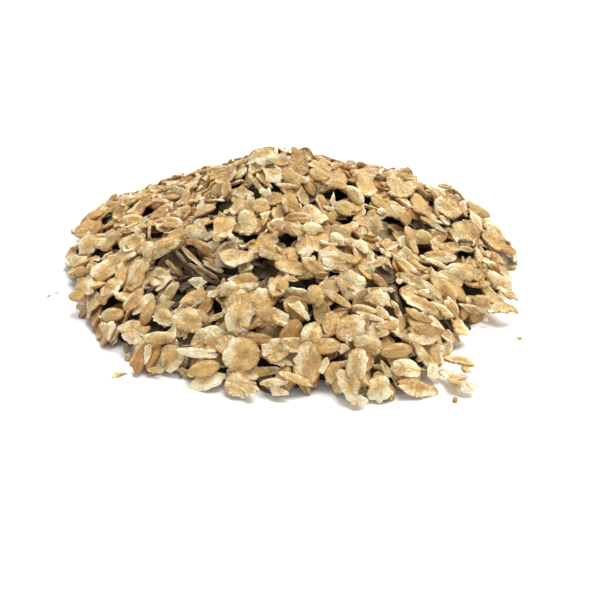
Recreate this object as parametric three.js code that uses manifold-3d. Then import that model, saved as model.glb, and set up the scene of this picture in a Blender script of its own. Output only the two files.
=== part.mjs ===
// A heap of rolled wheat flakes, as it lies after being poured out on a flat surface.
// Millimetres, +Z up. The origin is on the surface, under the middle of the heap; -Y is the front.
//
// The heap is one closed solid. A domed core stands for the flakes that are out of sight. The flakes
// that show are dropped on it one at a time: each comes to rest on the three highest points under it,
// with its own centre between them, so that flakes lap over each other as real ones do. They sink
// slightly into what they rest on, and the whole is joined into one body.

import * as THREE from 'three';
import { mergeVertices } from 'three/addons/utils/BufferGeometryUtils.js';
import Module from 'manifold-3d';

const wasm = await Module();
wasm.setup();

// ---- driving dimensions ----

const HALF_WIDTH = 69.5; // the heap's foot, from its middle to the side
const HALF_DEPTH = 69.5; // from its middle to the front
const MIDDLE_Y = -2.5; // where the foot's middle lies
const HEIGHT = 26.3; // of the plain dome, before the mounds below
const SLOPE_POWER = 2.5; // high values keep the top broad
const BRIM_POWER = 0.9; // low values make the foot steep

// The foot isn't quite an ellipse: [lobes, cosine share, sine share].
const FOOT_WAVES = [
  [2, 0.013, -0.03],
  [3, 0.005, 0.034],
  [4, 0.015, 0.005],
  [5, 0.027, 0.024],
];

// Rises and dips in the heap's back, from left to right: [x, y, rise].
const MOUND_SPREAD = 13.5;
const MOUND_FADE = 4; // high values carry the mounds nearly to the foot
const MOUNDS = [
  [-56, 20, -6.8],
  [-34, 12, -7.4],
  [-17, 10, 4.2],
  [0, 9, 7.6],
  [17, 9, -1.8],
  [34, 12, 5.3],
  [56, 18, 2.8],
];

// Flakes that have slid out on the surface, to the right of the front: [x, y, length, turn in degrees].
const SPILLED = [
  [44, -44, 11, 20],
  [50.5, -38, 9.5, 5],
  [46, -51.5, 10.5, -60],
  [51, -55.5, 9.5, -15],
  [47.5, -61, 9.5, -25],
];

const FLAKE_COUNT = 148; // on the heap, besides those at its foot
const RIM_COUNT = 42; // flakes along the foot
const RIM_REACH = [0.9, 0.98]; // where their middles lie, as a share of the foot
const RIM_JITTER = 0.6; // how far one strays along the foot, as a share of their spacing
const FLAKE_LENGTH = [12.4, 7.6]; // the largest and the smallest flake
const FLAKE_SLIMNESS = [0.62, 0.86]; // width as a share of length
const FLAKE_THICKNESS = [0.95, 1.35];
const FLAKE_SIDES = 6;
const FLAKE_RAGGEDNESS = 0.13; // how unevenly the edge runs, as a share of the radius
const FLAKE_JITTER = 0.2; // how far a corner strays along the edge, as a share of their spacing
const FLAKE_TAPER = 0.12; // how far the sides are drawn in towards the two ends
const FLAKE_CURL = [-0.45, 0.65]; // how far the middle stands above the ends
const FLAKE_LEAN = 13; // degrees, how far a flake is tilted before it settles

const CORE_SPOKES = 36;
const CORE_RINGS = 8;
const CORE_CROWDING = 0.85; // below 1, the rings stand closer together towards the foot
const CORE_INSET = 0.94; // the core's foot, as a share of the heap's
const CORE_SINK = 1.3; // the core's surface under the heap's
const CORE_RELIEF = 1.1; // how far its bumps rise and dip where it shows between the flakes
const CORE_LOWEST = 1; // its height just inside the foot, at least

const FUSE_DEPTH = 0.42; // how far a flake sinks into what it rests on
const CELL = 0.5; // of the height map that the flakes are dropped on
const SAMPLE_STEP = 0.7; // between the points of a flake that feel for the ground
const FEELER_REACH = 0.8; // how far out on a flake these points lie, as a share of its half length
const MAP_REACH = 88; // the height map's half side
const SLOPE_STEP = 4; // how far apart the heap's surface is read for its slope
const PLANE_STEPS = 40; // tries to find the three points that a flake rests on
const LEAST_STANCE = 0.5; // the least area, doubled, that these three points span
const SPREAD_TRIES = 60; // places tried for each flake, of which the emptiest is taken
const HEAP_REACH = 0.86; // the flakes on the heap lie no further out than this share of the foot
const SEED = 22;

const STRAW = 0xc9a46c;
const UP = new THREE.Vector3(0, 0, 1);

// ---- small helpers ----

// A seeded draw from 0 to 1, the same on every run.
function makeDraw(seed) {
  let state = seed;
  return () => {
    state = (state + 0x6d2b79f5) | 0;
    let t = Math.imul(state ^ (state >>> 15), 1 | state);
    t = (t + Math.imul(t ^ (t >>> 7), 61 | t)) ^ t;
    return ((t ^ (t >>> 14)) >>> 0) / 4294967296;
  };
}

const draw = makeDraw(SEED);
const between = ([low, high]) => low + (high - low) * draw();
const astray = (reach) => (draw() * 2 - 1) * reach;
const mix = ([first, last], share) => first + (last - first) * share;

// ---- the heap's surface ----

// How far the foot reaches in one direction, as a share of the plain ellipse.
function footReach(angle) {
  return FOOT_WAVES.reduce(
    (reach, [lobes, cosine, sine]) =>
      reach + cosine * Math.cos(lobes * angle) + sine * Math.sin(lobes * angle),
    1,
  );
}

function hump(x, y, [middleX, middleY, rise]) {
  const distance = Math.hypot(x - middleX, y - middleY);
  return rise * Math.exp(-(distance ** 2) / (2 * MOUND_SPREAD ** 2));
}

// The point at a share of the way from the heap's middle to its foot.
function heapPoint(angle, share) {
  const reach = footReach(angle) * share;
  return [HALF_WIDTH * reach * Math.cos(angle), MIDDLE_Y + HALF_DEPTH * reach * Math.sin(angle)];
}

// The share of the way from the heap's middle to its foot at which a point lies.
function shareAt(x, y) {
  const across = x / HALF_WIDTH;
  const deep = (y - MIDDLE_Y) / HALF_DEPTH;
  return Math.hypot(across, deep) / footReach(Math.atan2(deep, across));
}

function heapHeight(x, y) {
  const share = shareAt(x, y);
  if (share >= 1) return 0;
  const dome = HEIGHT * (1 - share ** SLOPE_POWER) ** BRIM_POWER;
  const mounds = MOUNDS.reduce((sum, mound) => sum + hump(x, y, mound), 0);
  return Math.max(0, dome + mounds * (1 - share ** MOUND_FADE));
}

function heapNormal(x, y) {
  const rise = (stepX, stepY) => heapHeight(x + stepX, y + stepY) - heapHeight(x - stepX, y - stepY);
  const slopeX = rise(SLOPE_STEP, 0) / (2 * SLOPE_STEP);
  const slopeY = rise(0, SLOPE_STEP) / (2 * SLOPE_STEP);
  return new THREE.Vector3(-slopeX, -slopeY, 1).normalize();
}

// ---- the core ----

// A domed body with a flat underside: rings of points from the top down to the foot.
function coreGeometry() {
  const points = [0, MIDDLE_Y, heapHeight(0, MIDDLE_Y) - CORE_SINK];
  for (let ring = 1; ring <= CORE_RINGS; ring++) {
    const share = (ring / CORE_RINGS) ** CORE_CROWDING;
    for (let spoke = 0; spoke < CORE_SPOKES; spoke++) {
      const angle = ((spoke + (ring % 2) / 2) / CORE_SPOKES) * 2 * Math.PI;
      const [x, y] = heapPoint(angle, share * CORE_INSET);
      const [outerX, outerY] = heapPoint(angle, share);
      const height = heapHeight(outerX, outerY) - CORE_SINK + astray(CORE_RELIEF);
      points.push(x, y, ring === CORE_RINGS ? 0 : Math.max(CORE_LOWEST, height));
    }
  }
  const underside = points.length / 3;
  points.push(0, MIDDLE_Y, 0);

  const at = (ring, spoke) => 1 + (ring - 1) * CORE_SPOKES + (spoke % CORE_SPOKES);
  const faces = [];
  for (let spoke = 0; spoke < CORE_SPOKES; spoke++) {
    faces.push(0, at(1, spoke), at(1, spoke + 1));
    faces.push(underside, at(CORE_RINGS, spoke + 1), at(CORE_RINGS, spoke));
    for (let ring = 1; ring < CORE_RINGS; ring++) {
      const [a, b] = [at(ring, spoke), at(ring, spoke + 1)];
      const [c, d] = [at(ring + 1, spoke), at(ring + 1, spoke + 1)];
      // The rings are turned by half a spoke against each other, so the seam's diagonal alternates.
      if (ring % 2) faces.push(a, c, b, b, c, d);
      else faces.push(a, c, d, a, d, b);
    }
  }
  const geometry = new THREE.BufferGeometry();
  geometry.setAttribute('position', new THREE.Float32BufferAttribute(points, 3));
  geometry.setIndex(faces);
  return geometry;
}

// ---- one flake ----

// A flake's outline: an oval that is drawn in towards its two ends, with an uneven edge.
function flakeOutline(length, width) {
  const start = draw() * Math.PI;
  return Array.from({ length: FLAKE_SIDES }, (_, side) => {
    const angle = start + ((side + astray(FLAKE_JITTER)) / FLAKE_SIDES) * 2 * Math.PI;
    const radius = 1 + astray(FLAKE_RAGGEDNESS);
    const across = Math.sin(angle) * (1 - FLAKE_TAPER * Math.cos(angle) ** 2);
    return new THREE.Vector2(
      (length / 2) * radius * Math.cos(angle),
      (width / 2) * radius * across,
    );
  });
}

// The height of a bent flake at one point of its length, counted from its middle.
const bend = (x, length, curl) => -curl * (x / (length / 2)) ** 2;

// A plate of the outline's form, bent along its length.
function flakeGeometry(length, width, thickness, curl) {
  const geometry = new THREE.ExtrudeGeometry(new THREE.Shape(flakeOutline(length, width)), {
    depth: thickness,
    bevelEnabled: false,
  });
  geometry.translate(0, 0, -thickness / 2);
  const position = geometry.getAttribute('position');
  for (let i = 0; i < position.count; i++) {
    position.setZ(i, position.getZ(i) + bend(position.getX(i), length, curl));
  }
  return geometry;
}

// Points spread over a flake's plate, with which it feels for what lies under it.
function feelers(length, width, curl) {
  const found = [];
  for (let x = -length / 2; x <= length / 2; x += SAMPLE_STEP) {
    for (let y = -width / 2; y <= width / 2; y += SAMPLE_STEP) {
      if (Math.hypot(x / (length / 2), y / (width / 2)) <= FEELER_REACH) {
        found.push(new THREE.Vector3(x, y, bend(x, length, curl)));
      }
    }
  }
  return found;
}

// ---- the height map that flakes come to rest on ----

const MAP_SIDE = Math.round((2 * MAP_REACH) / CELL) + 1;
const heightMap = new Float32Array(MAP_SIDE * MAP_SIDE);

const cellOf = (x, y) =>
  Math.round((x + MAP_REACH) / CELL) + MAP_SIDE * Math.round((y + MAP_REACH) / CELL);

// Raises the height map to the core's surface, triangle by triangle.
function markCore(geometry) {
  const position = geometry.getAttribute('position');
  const corner = (i) => new THREE.Vector3().fromBufferAttribute(position, geometry.index.getX(i));
  for (let i = 0; i < geometry.index.count; i += 3) {
    markTriangle(corner(i), corner(i + 1), corner(i + 2));
  }
}

function markTriangle(a, b, c) {
  const part = (p, q, x, y) => (p.x - x) * (q.y - y) - (p.y - y) * (q.x - x);
  const area = part(a, b, c.x, c.y);
  if (area <= 0) return; // it faces down
  const box = new THREE.Box3().setFromPoints([a, b, c]);
  const toGrid = (value) => Math.ceil(value / CELL) * CELL;
  for (let y = toGrid(box.min.y); y <= box.max.y; y += CELL) {
    for (let x = toGrid(box.min.x); x <= box.max.x; x += CELL) {
      const shares = [part(b, c, x, y), part(c, a, x, y), part(a, b, x, y)].map((s) => s / area);
      if (shares.every((share) => share >= -1e-6)) {
        const height = shares[0] * a.z + shares[1] * b.z + shares[2] * c.z;
        heightMap[cellOf(x, y)] = Math.max(heightMap[cellOf(x, y)], height);
      }
    }
  }
}

// The plane that rests on the points: it passes through three of them that have the origin between
// them, and none of the others stands above it. Returns its height at the origin and its two slopes.
function restingPlane(points) {
  const farthest = (angle) =>
    points.reduce((best, point) => {
      const reach = point.x * Math.cos(angle) + point.y * Math.sin(angle);
      return reach > best.reach ? { reach, point } : best;
    }, { reach: -Infinity }).point;
  let legs = [0, 1, 2].map((third) => farthest((third * 2 * Math.PI) / 3));
  let plane = planeThrough(legs);
  for (let step = 0; step < PLANE_STEPS; step++) {
    let highest = null;
    let rise = 1e-4;
    for (const point of points) {
      const over = point.z - (plane.height + plane.slopeX * point.x + plane.slopeY * point.y);
      if (over > rise) {
        rise = over;
        highest = point;
      }
    }
    if (!highest) break;
    const swaps = [0, 1, 2].map((leg) => legs.map((point, i) => (i === leg ? highest : point)));
    const steady = swaps.find((swap) => holdsOrigin(swap));
    if (!steady) break;
    legs = steady;
    plane = planeThrough(legs);
  }
  return plane;
}

function planeThrough([a, b, c]) {
  const [bx, by, bz] = [b.x - a.x, b.y - a.y, b.z - a.z];
  const [cx, cy, cz] = [c.x - a.x, c.y - a.y, c.z - a.z];
  const area = bx * cy - by * cx;
  const slopeX = (bz * cy - by * cz) / area;
  const slopeY = (bx * cz - bz * cx) / area;
  return { height: a.z - slopeX * a.x - slopeY * a.y, slopeX, slopeY };
}

function holdsOrigin([a, b, c]) {
  const side = (p, q) => p.x * q.y - p.y * q.x;
  const sides = [side(a, b), side(b, c), side(c, a)];
  const area = sides[0] + sides[1] + sides[2];
  return Math.abs(area) > LEAST_STANCE && sides.every((part) => part / area >= -1e-9);
}

// Drops a flake at (x, y), lets it settle, marks it on the height map and returns its place.
function settle(x, y, startTurn, thickness, points) {
  const heightUnder = (point) => heightMap[cellOf(x + point.x, y + point.y)];
  const turned = (turn) => points.map((point) => point.clone().applyQuaternion(turn));

  const felt = turned(startTurn).map(
    (point) => new THREE.Vector3(point.x, point.y, heightUnder(point) - point.z),
  );
  const { slopeX, slopeY } = restingPlane(felt);
  const lean = new THREE.Quaternion().setFromUnitVectors(
    UP,
    new THREE.Vector3(-slopeX, -slopeY, 1).normalize(),
  );
  const turn = lean.multiply(startTurn);
  const resting = turned(turn);
  const half = thickness / 2 / UP.clone().applyQuaternion(turn).z;
  const z = Math.max(...resting.map((point) => heightUnder(point) - point.z)) + half;
  for (const point of resting) {
    const cell = cellOf(x + point.x, y + point.y);
    heightMap[cell] = Math.max(heightMap[cell], z + point.z + half);
  }
  return { turn, centre: new THREE.Vector3(x, y, z - FUSE_DEPTH) };
}

// ---- the heap ----

// Places at even steps around the foot of the heap.
function rimPlaces() {
  return Array.from({ length: RIM_COUNT }, (_, i) => {
    const angle = ((i + draw() * RIM_JITTER) / RIM_COUNT) * 2 * Math.PI;
    return new THREE.Vector3(...heapPoint(angle, between(RIM_REACH)), 0);
  });
}

// The emptiest of a few places on the heap, so that the flakes cover it evenly.
function emptiestPlace(taken) {
  let best = null;
  for (let i = 0; i < SPREAD_TRIES; i++) {
    const [x, y] = heapPoint(draw() * 2 * Math.PI, Math.sqrt(draw()) * HEAP_REACH);
    const place = new THREE.Vector3(x, y, heapHeight(x, y));
    const room = Math.min(MAP_REACH, ...taken.map((other) => other.distanceTo(place)));
    if (!best || room > best.room) best = { room, place };
  }
  return best.place;
}

// The turn that lays a flake on the heap's slope, at a random heading and a slight lean.
function startTurnAt(x, y) {
  const onSlope = new THREE.Quaternion().setFromUnitVectors(UP, heapNormal(x, y));
  const heading = new THREE.Quaternion().setFromAxisAngle(UP, draw() * 2 * Math.PI);
  const leanHeading = draw() * 2 * Math.PI;
  const lean = new THREE.Quaternion().setFromAxisAngle(
    new THREE.Vector3(Math.cos(leanHeading), Math.sin(leanHeading), 0),
    THREE.MathUtils.degToRad(FLAKE_LEAN) * draw(),
  );
  return onSlope.multiply(lean).multiply(heading);
}

function toSolid(geometry) {
  const bare = geometry.clone();
  bare.deleteAttribute('normal');
  bare.deleteAttribute('uv');
  const merged = mergeVertices(bare, 1e-4);
  return new wasm.Manifold(
    new wasm.Mesh({
      numProp: 3,
      vertProperties: new Float32Array(merged.getAttribute('position').array),
      triVerts: new Uint32Array(merged.index.array),
    }),
  );
}

function toGeometry(solid) {
  const mesh = solid.getMesh();
  const geometry = new THREE.BufferGeometry();
  geometry.setAttribute('position', new THREE.BufferAttribute(mesh.vertProperties, 3));
  geometry.setIndex(new THREE.BufferAttribute(mesh.triVerts, 1));
  geometry.computeVertexNormals();
  return geometry;
}

// One settled flake, as a solid.
function flakeSolid(x, y, startTurn, length) {
  const width = length * between(FLAKE_SLIMNESS);
  const thickness = between(FLAKE_THICKNESS);
  const curl = between(FLAKE_CURL);
  const points = feelers(length, width, curl);
  const { turn, centre } = settle(x, y, startTurn, thickness, points);
  const geometry = flakeGeometry(length, width, thickness, curl);
  geometry.applyQuaternion(turn);
  geometry.translate(centre.x, centre.y, centre.z);
  return toSolid(geometry);
}

// The spilled flakes, those along the foot, then those on the heap from the largest to the smallest.
function flakeSolids() {
  const spilled = SPILLED.map(([x, y, length, turn]) => {
    const heading = new THREE.Quaternion().setFromAxisAngle(UP, THREE.MathUtils.degToRad(turn));
    return flakeSolid(x, y, heading, length);
  });
  const taken = rimPlaces();
  const rim = taken.map(({ x, y }) => flakeSolid(x, y, startTurnAt(x, y), between(FLAKE_LENGTH)));
  const heaped = Array.from({ length: FLAKE_COUNT }, (_, i) => {
    const place = emptiestPlace(taken);
    taken.push(place);
    const length = mix(FLAKE_LENGTH, i / (FLAKE_COUNT - 1));
    return flakeSolid(place.x, place.y, startTurnAt(place.x, place.y), length);
  });
  return [...spilled, ...rim, ...heaped];
}

// Everything joined, cut level with the surface it lies on, without loose scraps or sealed hollows.
function heapSolid() {
  const core = coreGeometry();
  markCore(core);
  const joined = wasm.Manifold.union([toSolid(core), ...flakeSolids()]);
  const level = joined.trimByPlane([0, 0, 1], 0);
  const bodies = level.decompose().sort((a, b) => b.volume() - a.volume());
  return bodies[0];
}

const solid = heapSolid();
const straw = new THREE.MeshStandardMaterial({ color: STRAW, roughness: 0.8, metalness: 0 });
const heap = new THREE.Mesh(toGeometry(solid), straw);
heap.name = 'wheat_flake_heap';

const group = new THREE.Group();
group.add(heap);
export default group;
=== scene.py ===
"""A loose heap of rolled wheat flakes: a core painted near black as the shade inside the heap, the
flakes laid over it one by one, and the crumbs beside it. Lengths in the working are millimetres,
and a mesh gets metres."""

import math
from collections import namedtuple
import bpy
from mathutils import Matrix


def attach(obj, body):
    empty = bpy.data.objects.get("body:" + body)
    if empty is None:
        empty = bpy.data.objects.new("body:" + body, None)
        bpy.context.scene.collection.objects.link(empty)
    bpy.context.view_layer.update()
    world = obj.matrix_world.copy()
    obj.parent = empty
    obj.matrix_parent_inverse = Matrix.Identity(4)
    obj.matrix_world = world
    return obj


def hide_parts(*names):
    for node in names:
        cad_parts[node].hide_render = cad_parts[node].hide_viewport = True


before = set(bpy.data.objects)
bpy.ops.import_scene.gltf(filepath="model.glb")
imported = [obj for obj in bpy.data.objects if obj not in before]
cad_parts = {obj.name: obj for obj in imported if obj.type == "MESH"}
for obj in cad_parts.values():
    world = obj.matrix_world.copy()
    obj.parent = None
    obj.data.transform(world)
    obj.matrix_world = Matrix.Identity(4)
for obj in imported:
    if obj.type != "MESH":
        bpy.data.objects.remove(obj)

from types import SimpleNamespace

import bpy
import numpy as np

bl_info = {
    "name": "Rolled wheat heap",
    "version": (1, 0, 0),
    "blender": (4, 5, 0),
    "location": "View3D > Sidebar > Wheat heap",
    "description": "Lays a loose heap of rolled wheat flakes over a dark core",
    "category": "Add Mesh",
}

MM = 0.001
NODE = "wheat_flake_heap"
SEED = 7
TINY = 1e-3

# ---- the heap's form ----

FOOT_MIDDLE_Y = -2.5
SLOPE_POWER = 2.5  # of the share to the foot, by which the dome falls off
BRIM_POWER = 0.9  # of what is left, so that the foot is a little steeper
# Waves round the foot: how many go round it, and their sizes as shares of its reach.
Wave = namedtuple("Wave", "count cosine sine")
FOOT_WAVES = [
    Wave(2, 0.013, -0.03), Wave(3, 0.005, 0.034), Wave(4, 0.015, 0.005), Wave(5, 0.027, 0.024)]
# Places where the foot is set back, by a share of its reach. Directions and widths are in degrees.
Bite = namedtuple("Bite", "way depth half_width")
FOOT_BITES = [
    Bite(-81, 0.12, 4), Bite(-100, 0.03, 18), Bite(-133, 0.03, 5), Bite(-35, 0.05, 6), Bite(-2, 0.05, 5),
    Bite(148, -0.04, 7), Bite(166, 0.05, 6)]
# Round mounds on the dome. One with a rise below 0 is a shallow bowl.
MOUND_SPREAD = 13.5
MOUND_FADE = 4  # power of the share to the foot by which they fade
Mound = namedtuple("Mound", "x y rise")
MOUNDS = [
    Mound(-56, 20, -6.8), Mound(-34, 12, -7.4), Mound(-17, 10, 4.2), Mound(0, 9, 7.6),
    Mound(17, 9, -1.8), Mound(34, 12, 5.3), Mound(56, 18, 2.8)]
# The dip in the left half, in real shade and in painted shade: its flakes' depth is taken from the surface
# without the dip.
Dip = namedtuple("Dip", "x y depth spread")
DIPS = [Dip(-24, -31, 3.6, 7.0)]
NORMAL_STEP = 4.0  # over which the surface's slope is taken

# The view of the picture: a square of 600 pixels a side, its middle at 300.
PICTURE_MIDDLE = 300
FOCAL_PIXELS = 1096.66
VIEW_TILT = math.radians(31.1)
VIEW_AWAY = 350.0
VIEW_TARGET = (4.5, 0.0, -12.1)
LOOK_ALONG = np.arange(240, 480, 0.25)  # depths at which a pixel's ray is tried against the heap

# A place in the picture: its middle, and half of its width and height, in pixels.
Spot = namedtuple("Spot", "across down half_width half_height")

# Dark hollows between the flakes: real shade, and the core's painted shade where it shows.
HOLLOWS = [Spot(*spot) for spot in (
    (137, 315, 4, 4), (156, 326, 7, 4), (165, 330, 5, 3), (217, 308, 6, 6), (279, 306, 5, 6),
    (292, 318, 2, 2), (260, 361, 4, 6), (272, 375, 11, 2), (182, 341, 5, 2), (193, 357, 6, 2),
    (336, 306, 5, 4), (339, 343, 4, 3), (352, 312, 2, 2), (381, 359, 8, 3), (399, 341, 7, 3),
    (415, 356, 3, 3), (391, 312, 2, 6), (404, 308, 3, 7), (372, 371, 3, 2), (445, 325, 5, 2),
    (457, 308, 5, 3), (423, 366, 2, 3), (471, 293, 2, 5), (425, 247, 8, 5), (454, 225, 4, 5),
    (436, 268, 6, 1), (372, 285, 4, 4), (391, 281, 6, 4), (407, 286, 2, 3), (383, 273, 9, 2),
    (388, 233, 4, 4), (285, 239, 8, 5), (304, 283, 20, 4), (334, 274, 4, 3), (263, 282, 6, 4),
    (262, 262, 4, 3), (273, 273, 5, 2), (171, 260, 9, 11), (188, 250, 5, 3), (184, 267, 5, 5),
    (198, 266, 7, 5), (227, 273, 13, 5), (206, 282, 5, 3), (216, 284, 5, 3), (178, 298, 8, 7),
    (109, 218, 4, 3), (115, 247, 6, 2), (112, 278, 4, 2), (148, 211, 7, 2), (155, 290, 5, 4),
    (155, 258, 4, 2), (157, 236, 7, 2), (258, 195, 2, 5),
    (273, 186, 3, 3), (222, 206, 9, 5), (315, 201, 2, 7), (327, 196, 2, 3),
    (340, 195, 4, 3), (367, 201, 4, 4), (387, 222, 5, 3), (346, 222, 6, 2),
    (418, 226, 4, 2), (430, 220, 9, 1), (440, 229, 6, 1), (98, 254, 4, 2), (470, 255, 5, 1),
    (210, 228, 3, 3), (247, 237, 12, 3), (314, 253, 5, 2),
)]
HOLLOW_DEPTH = 6.0
HOLLOW_PIXELS = 7.0  # of half width and half height together, for a millimetre of a hollow's reach
KEPT_OPEN = 0.4  # share of a spot's area that no flake may cover

# Places beside the heap that stay clear.
CLEAR = [Spot(*spot) for spot in (
    (445, 183, 16, 9), (425, 177, 12, 9), (468, 186, 14, 12), (100, 195, 14, 12), (120, 186, 14, 12),
    (136, 182, 12, 10), (150, 176, 14, 12), (168, 168, 12, 12), (180, 166, 10, 11), (192, 161, 14, 14),
    (206, 156, 12, 14), (222, 153, 14, 13), (240, 149, 9, 13), (248, 148, 6, 9), (320, 146, 14, 12),
    (345, 153, 12, 12), (104, 360, 14, 14), (118, 359, 12, 14), (165, 388, 22, 14), (84, 324, 6, 10),
    (455, 402, 8, 10), (355, 415, 40, 14), (294, 403, 16, 14), (270, 408, 14, 14), (320, 397, 10, 14),
    (510, 330, 20, 10), (524, 268, 8, 30), (475, 350, 24, 22), (60, 300, 8, 20), (480, 190, 12, 10),
)]

# A flake that is laid where it shows in the picture: its kind; where it shows, in pixels; length and
# width in millimetres; the way its length runs in the picture, in degrees turning left from
# rightwards; its tone from brown to golden; how pale it is; the way to its torn side, or None.
Shown = namedtuple("Shown", "kind across down length width way tone pale torn_way")
KIND_OF = dict(
    W="wide_flakes", S="smooth_flakes", O="oval_grains", B="broken_flakes", L="slivers", P="pale_bits")

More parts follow.
